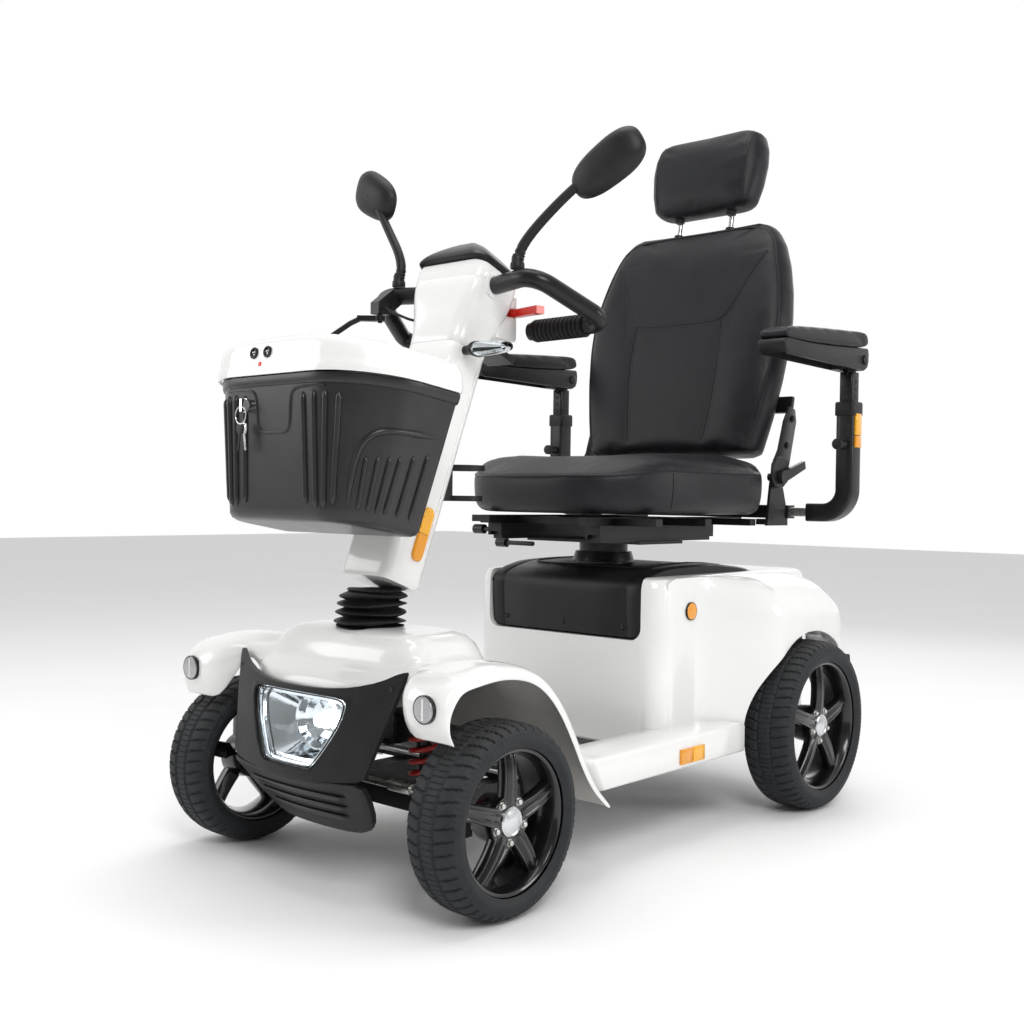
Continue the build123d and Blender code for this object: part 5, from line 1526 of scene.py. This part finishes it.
def headrest():
    """Headrest pillow with a seam near each end, on two bright posts with bushes."""
    rows = [(.206, .040, .018, -.010, .575), (.238, .064, .028, -.010, .582),
            (.260, .074, .033, -.010, .591),
            (.280, .083, .037, -.011, .630), (.291, .088, .040, -.012, .680),
            (.286, .085, .038, -.012, .715),
            (.266, .074, .033, -.011, .744), (.236, .058, .027, -.010, .753),
            (.190, .036, .016, -.010, .758)]

    def held(co):
        p = from_back(co)
        return p.y > .012 or abs(abs(p.x) - .118) < .0035

    obj = soft("head_cushion", pad_shape(rows), "headrest", "headrest", .0055, .008, held)
    nearest = skin(obj)
    for number, x in enumerate((.118, -.118)):
        route = [back(x, -.064 + .001 * k, .586 + .0055 * k) for k in range(31)]
        piping(f"head_seam_{number + 1}", nearest, route, "headrest", .0011, .0002)
        stitches(f"head_stitch_{number + 1}", nearest,
                 [p + Vector((.005 if x < 0 else -.005, 0, 0)) for p in route],
                 "headrest")
    for number, x in enumerate((.069, -.069)):
        piece(f"post_{number + 1}", *turned([(.470, .0060), (.584, .0060)], back(x, 0, 0),
                back(0, 0, 1) - back(0, 0, 0), 24), "chrome", "headrest")
        piece(f"post_bush_{number + 1}", *turned([(.524, .010), (.5335, .012), (.5365, .0115),
                (.538, .0085), (.538, .0066)],
                back(x, 0, 0), back(0, 0, 1) - back(0, 0, 0), 28), "black_plastic", "backrest")
        piece(f"post_socket_{number + 1}", *turned([(.566, .0085), (.568, .011), (.576, .0115),
                (.580, .0115)],
                back(x, -.006, 0), back(0, 0, 1) - back(0, 0, 0), 28), "black_plastic", "headrest")


headrest()


def arm_pads():
    """Two-part arm pads: stuffed top over a moulded tray that is hollow under its tip."""
    top = [(.203, .938), (.206, .950), (.222, .9575), (.375, .9700), (.530, .9790), (.545, .976),
           (.550, .965),
           (.549, .948), (.400, .9385), (.300, .9345), (.212, .9345)]
    tray = [(.199, .924), (.204, .9335), (.216, .9355), (.300, .9345), (.400, .9385), (.549, .948),
            (.552, .935),
            (.551, .918), (.546, .9065), (.532, .900), (.400, .902), (.300, .9035), (.214, .9045),
            (.204, .912)]
    for sign, hand in SIDES:
        body = f"arm_pad_{hand}"
        x = sign * .384
        rings = []
        for across, scale in ((-.0305, .86), (-.0308, .93), (-.0300, .98), (-.026, 1.0), (-.013, 1.0),
                              (0, 1.0),
                              (.013, 1.0), (.026, 1.0), (.0300, .98), (.0308, .93), (.0305, .86)):
            ring = []
            for y, z in [(p.x, p.y) for p in flat_outline(top, 72, 2)]:
                cy, cz = .376, .955
                thick = (scale - 1) * .022
                ring.append((x + across, y - math.copysign(min(abs(y - cy), -thick * .6), y - cy),
                             z + (-.5 if z < cz else 1) * thick))
            rings.append(ring)
        obj = soft(f"arm_cushion_{hand}", rings, body, f"arm_pad_{hand}", .004, .0015,
                   lambda co: co.z < .940 + .010 * smoothstep(.3, .54, co.y))
        shell = piece(f"arm_tray_{hand}", *prism(tray, x - .030, x + .030), "black_plastic", body,
                      bevel=0.0045, segments=3, angle=40)
        verts, faces = prism([(.212, .928), (.209, .880), (.480, .880), (.480, .930), (.230, .930)],
                             x - .0225, x + .0225)
        difference(shell, verts, faces)
        verts, faces = prism([(.486, .890), (.566, .890), (.566, .938), (.486, .938)], x - .007, x + .007)
        difference(shell, verts, faces)
        nearest = skin(obj)
        route = [Vector((x + sign * .031, .222 + .0085 * k, .9375 + .0010 * k * (k > 8) * .42))
                 for k in range(37)]
        stitches(f"arm_stitch_{hand}", nearest, route, body, lift=.0002)
        piece(f"arm_pin_{hand}", *lathe([(-.0335, .009), (-.0325, .0105), (.0325, .0105), (.0335, .009)],
                (x, .532, .922), "x", 28), "black_satin", body)


arm_pads()


# ---------------------------------------------------------------- arm posts, recliner joints, keys, bellows
def bar_sweep(path, plan, side=(0, 1, 0)):
    """Sweep a flat plan (a, b) along a path that stays in one upright plane across the scooter."""
    rings = []
    side = Vector(side)
    for i, point in enumerate(path):
        along = (path[min(i + 1, len(path) - 1)] - path[max(i - 1, 0)]).normalized()
        other = along.cross(side).normalized()
        rings.append([point + side * a + other * b for a, b in plan])
    return loft(rings)


def arm_posts():
    for sign, hand in SIDES:
        body = f"arm_post_{hand}"
        plan = rounded_plan(.042, .038, .006, 4, 2)
        centre = Vector((sign * .336, .524, .655))
        path = [Vector((sign * .300, .524, .607)), Vector((sign * .320, .524, .607))]
        for k in range(13):
            a = math.radians(-90 + 90 * k / 12)
            path.append(centre + Vector((sign * .048 * math.cos(a), 0, .048 * math.sin(a))))
        path += [Vector((sign * .384, .524, z)) for z in (.70, .80, .832)]
        piece(f"post_outer_{hand}", *bar_sweep(path, plan), "frame_steel", body, angle=40, bevel=.0008,
              replaces=(f"arm_post_{hand}",))
        piece(f"post_collar_{hand}", *loft([[(sign * .384 + a * k, .524 + b * k, z)
                for a, b in rounded_plan(.044, .046, .007, 4, 2)]
                for z, k in ((.808, 1), (.832, 1), (.836, .95), (.836, .80))]), "black_plastic", body,
              bevel=.0006)
        piece(f"post_inner_{hand}", *loft([[(sign * .384 + a, .524 + b, z) for a, b in rounded_plan(.030,
                .032, .005, 4, 2)]
                for z in (.820, .8975)]), "black_satin", body, bevel=.0008)
        piece(f"post_lug_{hand}", *prism([(.503, .890), (.541, .890), (.545, .915), (.540, .928),
                (.530, .934), (.520, .930),
                (.514, .918)], sign * .384 - .0058, sign * .384 + .0058), "frame_steel", body, bevel=.0012)
        verts, faces = prism(rounded_plan(.019, .019, .003, 3, 2), sign * .040, sign * .302)
        verts = [Vector((v.x, v.y + .524, v.z + .607)) for v in verts]
        piece(f"post_tube_{hand}", verts, faces, "bright_steel", body)
        # dark discs laid on the post stand for its holes: painted shade, no holes are cut
        holes = []
        for z in (.846, .862, .878):
            holes.append(lathe([(0, .0042), (.0003, .0042), (.0004, .0002)], (sign * .384, .5078, z), "y",
                               20, sign=-1))
            holes.append(lathe([(0, .0042), (.0003, .0042), (.0004, .0002)], (sign * .3990, .524, z), "x",
                               20, sign=sign))
        piece(f"post_hole_painted_shade_{hand}", *joined(*holes), "dark_gap", body)
        piece(f"post_knob_{hand}", *lathe([(0, .009), (.006, .009), (.009, .0075), (.020, .0075),
                (.023, .0115), (.030, .0115),
                (.031, .010)], (sign * .384, .5030, .748), "y", 24, sign=-1), "black_plastic", body,
              bevel=.0006)
        # post reflector: lower block amber, upper block paler amber as a painted highlight
        for number, (low, high, material) in enumerate(((.742, .7665, "amber"),
                (.7675, .812, "amber_pale"))):
            place = Vector((sign * .4048, .524, 0))
            piece(f"post_reflector_{hand}_{number + 1}",
                  *block(place + Vector((-.003, -.012, low)), place + Vector((.003, .012, high))), material,
                  body, bevel=.0014)


arm_posts()


def recliners():
    """Round recliner joints with bolts, their side plates, and the two bars behind the back."""
    for sign, hand in SIDES:
        verts, faces = turned([(0, .034), (.003, .034), (.005, .032), (.005, .022), (.009, .021),
                               (.011, .017),
                               (.011, .009), (.015, .008), (.0155, .0004)], (sign * .2590, .462, .690),
                              (sign, 0, 0), 40)
        if sign < 0:
            piece(f"recliner_{hand}", verts, faces, "frame_steel", "backrest", angle=30)
        else:
            piece(f"recliner_{hand}", *turned([(0, .034), (.003, .034), (.0048, .032), (.0048, .006)],
                    (.2590, .462, .690), (1, 0, 0), 40), "frame_steel", "backrest", angle=30)
        bolts = []
        for y, z in ((.494, .748), (.516, .806)):
            bolts.append(turned([(0, .0085), (.001, .0085), (.0012, .0062), (.0040, .0062), (.0045, .0052),
                                 (.0045, .0004)],
                                (sign * .2588, y, z), (sign, 0, 0), 6))
        piece(f"recliner_bolts_{hand}", *joined(*bolts), "black_satin", "backrest", angle=25)
        side_cover = [(.436, .670), (.462, .660), (.494, .668), (.508, .706), (.536, .800), (.530, .826),
                      (.508, .832),
                      (.486, .800), (.464, .738), (.440, .706)]
        piece(f"recliner_plate_{hand}", *prism(side_cover, sign * .2520, sign * .2590), "frame_steel",
              "backrest", bevel=.0022,
              replaces=("back_frame",) if sign > 0 else ())
        corners = [back(x, y, z) for z in (.112, .148)
                   for x, y in ((sign * .043, .044), (sign * .2525, .044),
                (sign * .2525, .055), (sign * .043, .055))]
        faces = [(0, 3, 2, 1), (4, 5, 6, 7), (0, 1, 5, 4), (1, 2, 6, 5), (2, 3, 7, 6), (3, 0, 4, 7)]
        piece(f"back_bar_{hand}", corners, faces, "frame_steel", "backrest", bevel=.002)


recliners()


def keys():
    """Key ring with two plain keys hanging from the lock."""
    centre = Vector((-.062, -.6675, .752))
    ring = [centre + Vector((.0135 * math.cos(a), 0, .0135 * math.sin(a)))
            for a in (2 * math.pi * k / 40 for k in range(41))]
    piece("key_ring", *tube(ring, .0010, 8, cap=False), "bright_steel", "lock_key")
    for number, (lean, shift) in enumerate(((-.10, -.003), (.16, .003))):
        c, s = math.cos(lean), math.sin(lean)

        def place(a, b, deep):
            return Vector((-.062 + shift + a * c - b * s, -.6665 + .0016 * number + deep,
                           .7385 + a * s + b * c))

        outline = [(-.008, 0), (-.009, -.008), (-.006, -.014), (-.0026, -.017), (-.0026, -.040), (0, -.043),
                   (.0026, -.040), (.0016, -.036), (.0030, -.033), (.0016, -.030), (.0030, -.027),
                   (.0026, -.017),
                   (.006, -.014), (.009, -.008), (.008, 0), (0, .002)]
        piece(f"key_{number + 1}", *loft([[place(a, b, d) for a, b in outline] for d in (0, .0014)]),
              "silver" if number else "black_plastic", "lock_key", bevel=.0003)


keys()


def bending(name, verts, faces, material, node):
    """Piece that stands for a node, which it hides; it is baked in place and rides on no body."""
    mesh = bpy.data.meshes.new(name)
    mesh.from_pydata([tuple(v) for v in verts], [], faces)
    obj = bpy.data.objects.new(name, mesh)
    bpy.context.scene.collection.objects.link(obj)
    mesh.materials.append(MATS[material])
    finish_mesh(obj, 60)
    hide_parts(node)
    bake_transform(obj)


def springs():
    """Two red coil springs between the axle and the chassis."""
    low, high, coil, turns = .178, .277, .020, 5.5
    parts = []
    for sign in (1, -1):
        path = []
        for k in range(221):
            t = k / 220
            a = 2 * math.pi * turns * t
            path.append((sign * .150 + coil * math.cos(a), FRONT["y"] + coil * math.sin(a),
                         low + (high - low) * t))
        parts.append(tube(path, .0040, 12))
    verts, faces = joined(*parts)
    bending("spring_coils", verts, faces, "spring_red", "front_springs")


springs()


def bellows():
    """Four soft pleats between the hump and the column, with a collar at each end."""
    rows = [(.4085, .0560), (.4110, .0575)]
    for k in range(61):
        t = k / 60
        wave = .5 - .5 * math.cos(2 * math.pi * 4 * t)
        rows.append((.4125 + .0560 * t, .0465 - .003 * t + (.0155 - .002 * t) * wave ** 0.85))
    rows += [(.4700, .0470), (.4725, .0440)]
    rings = []
    for high, radius in rows:
        t = (high - .4085) / .064
        centre = Vector((0, -.4455 + .010 * t * t, high))
        rings.append([centre + Vector((radius * math.cos(a) * (1 + .012 * math.sin(3 * a + 9 * t)),
                                       radius * math.sin(a) * (1 + .012 * math.cos(2 * a + 7 * t)),
                                       .0016 * math.sin(2 * a + 12 * t)))
                      for a in (2 * math.pi * k / 72 for k in range(72))])
    verts, faces = loft(rings)
    bending("bellows_skin", verts, faces, "rubber", "bellows")


bellows()
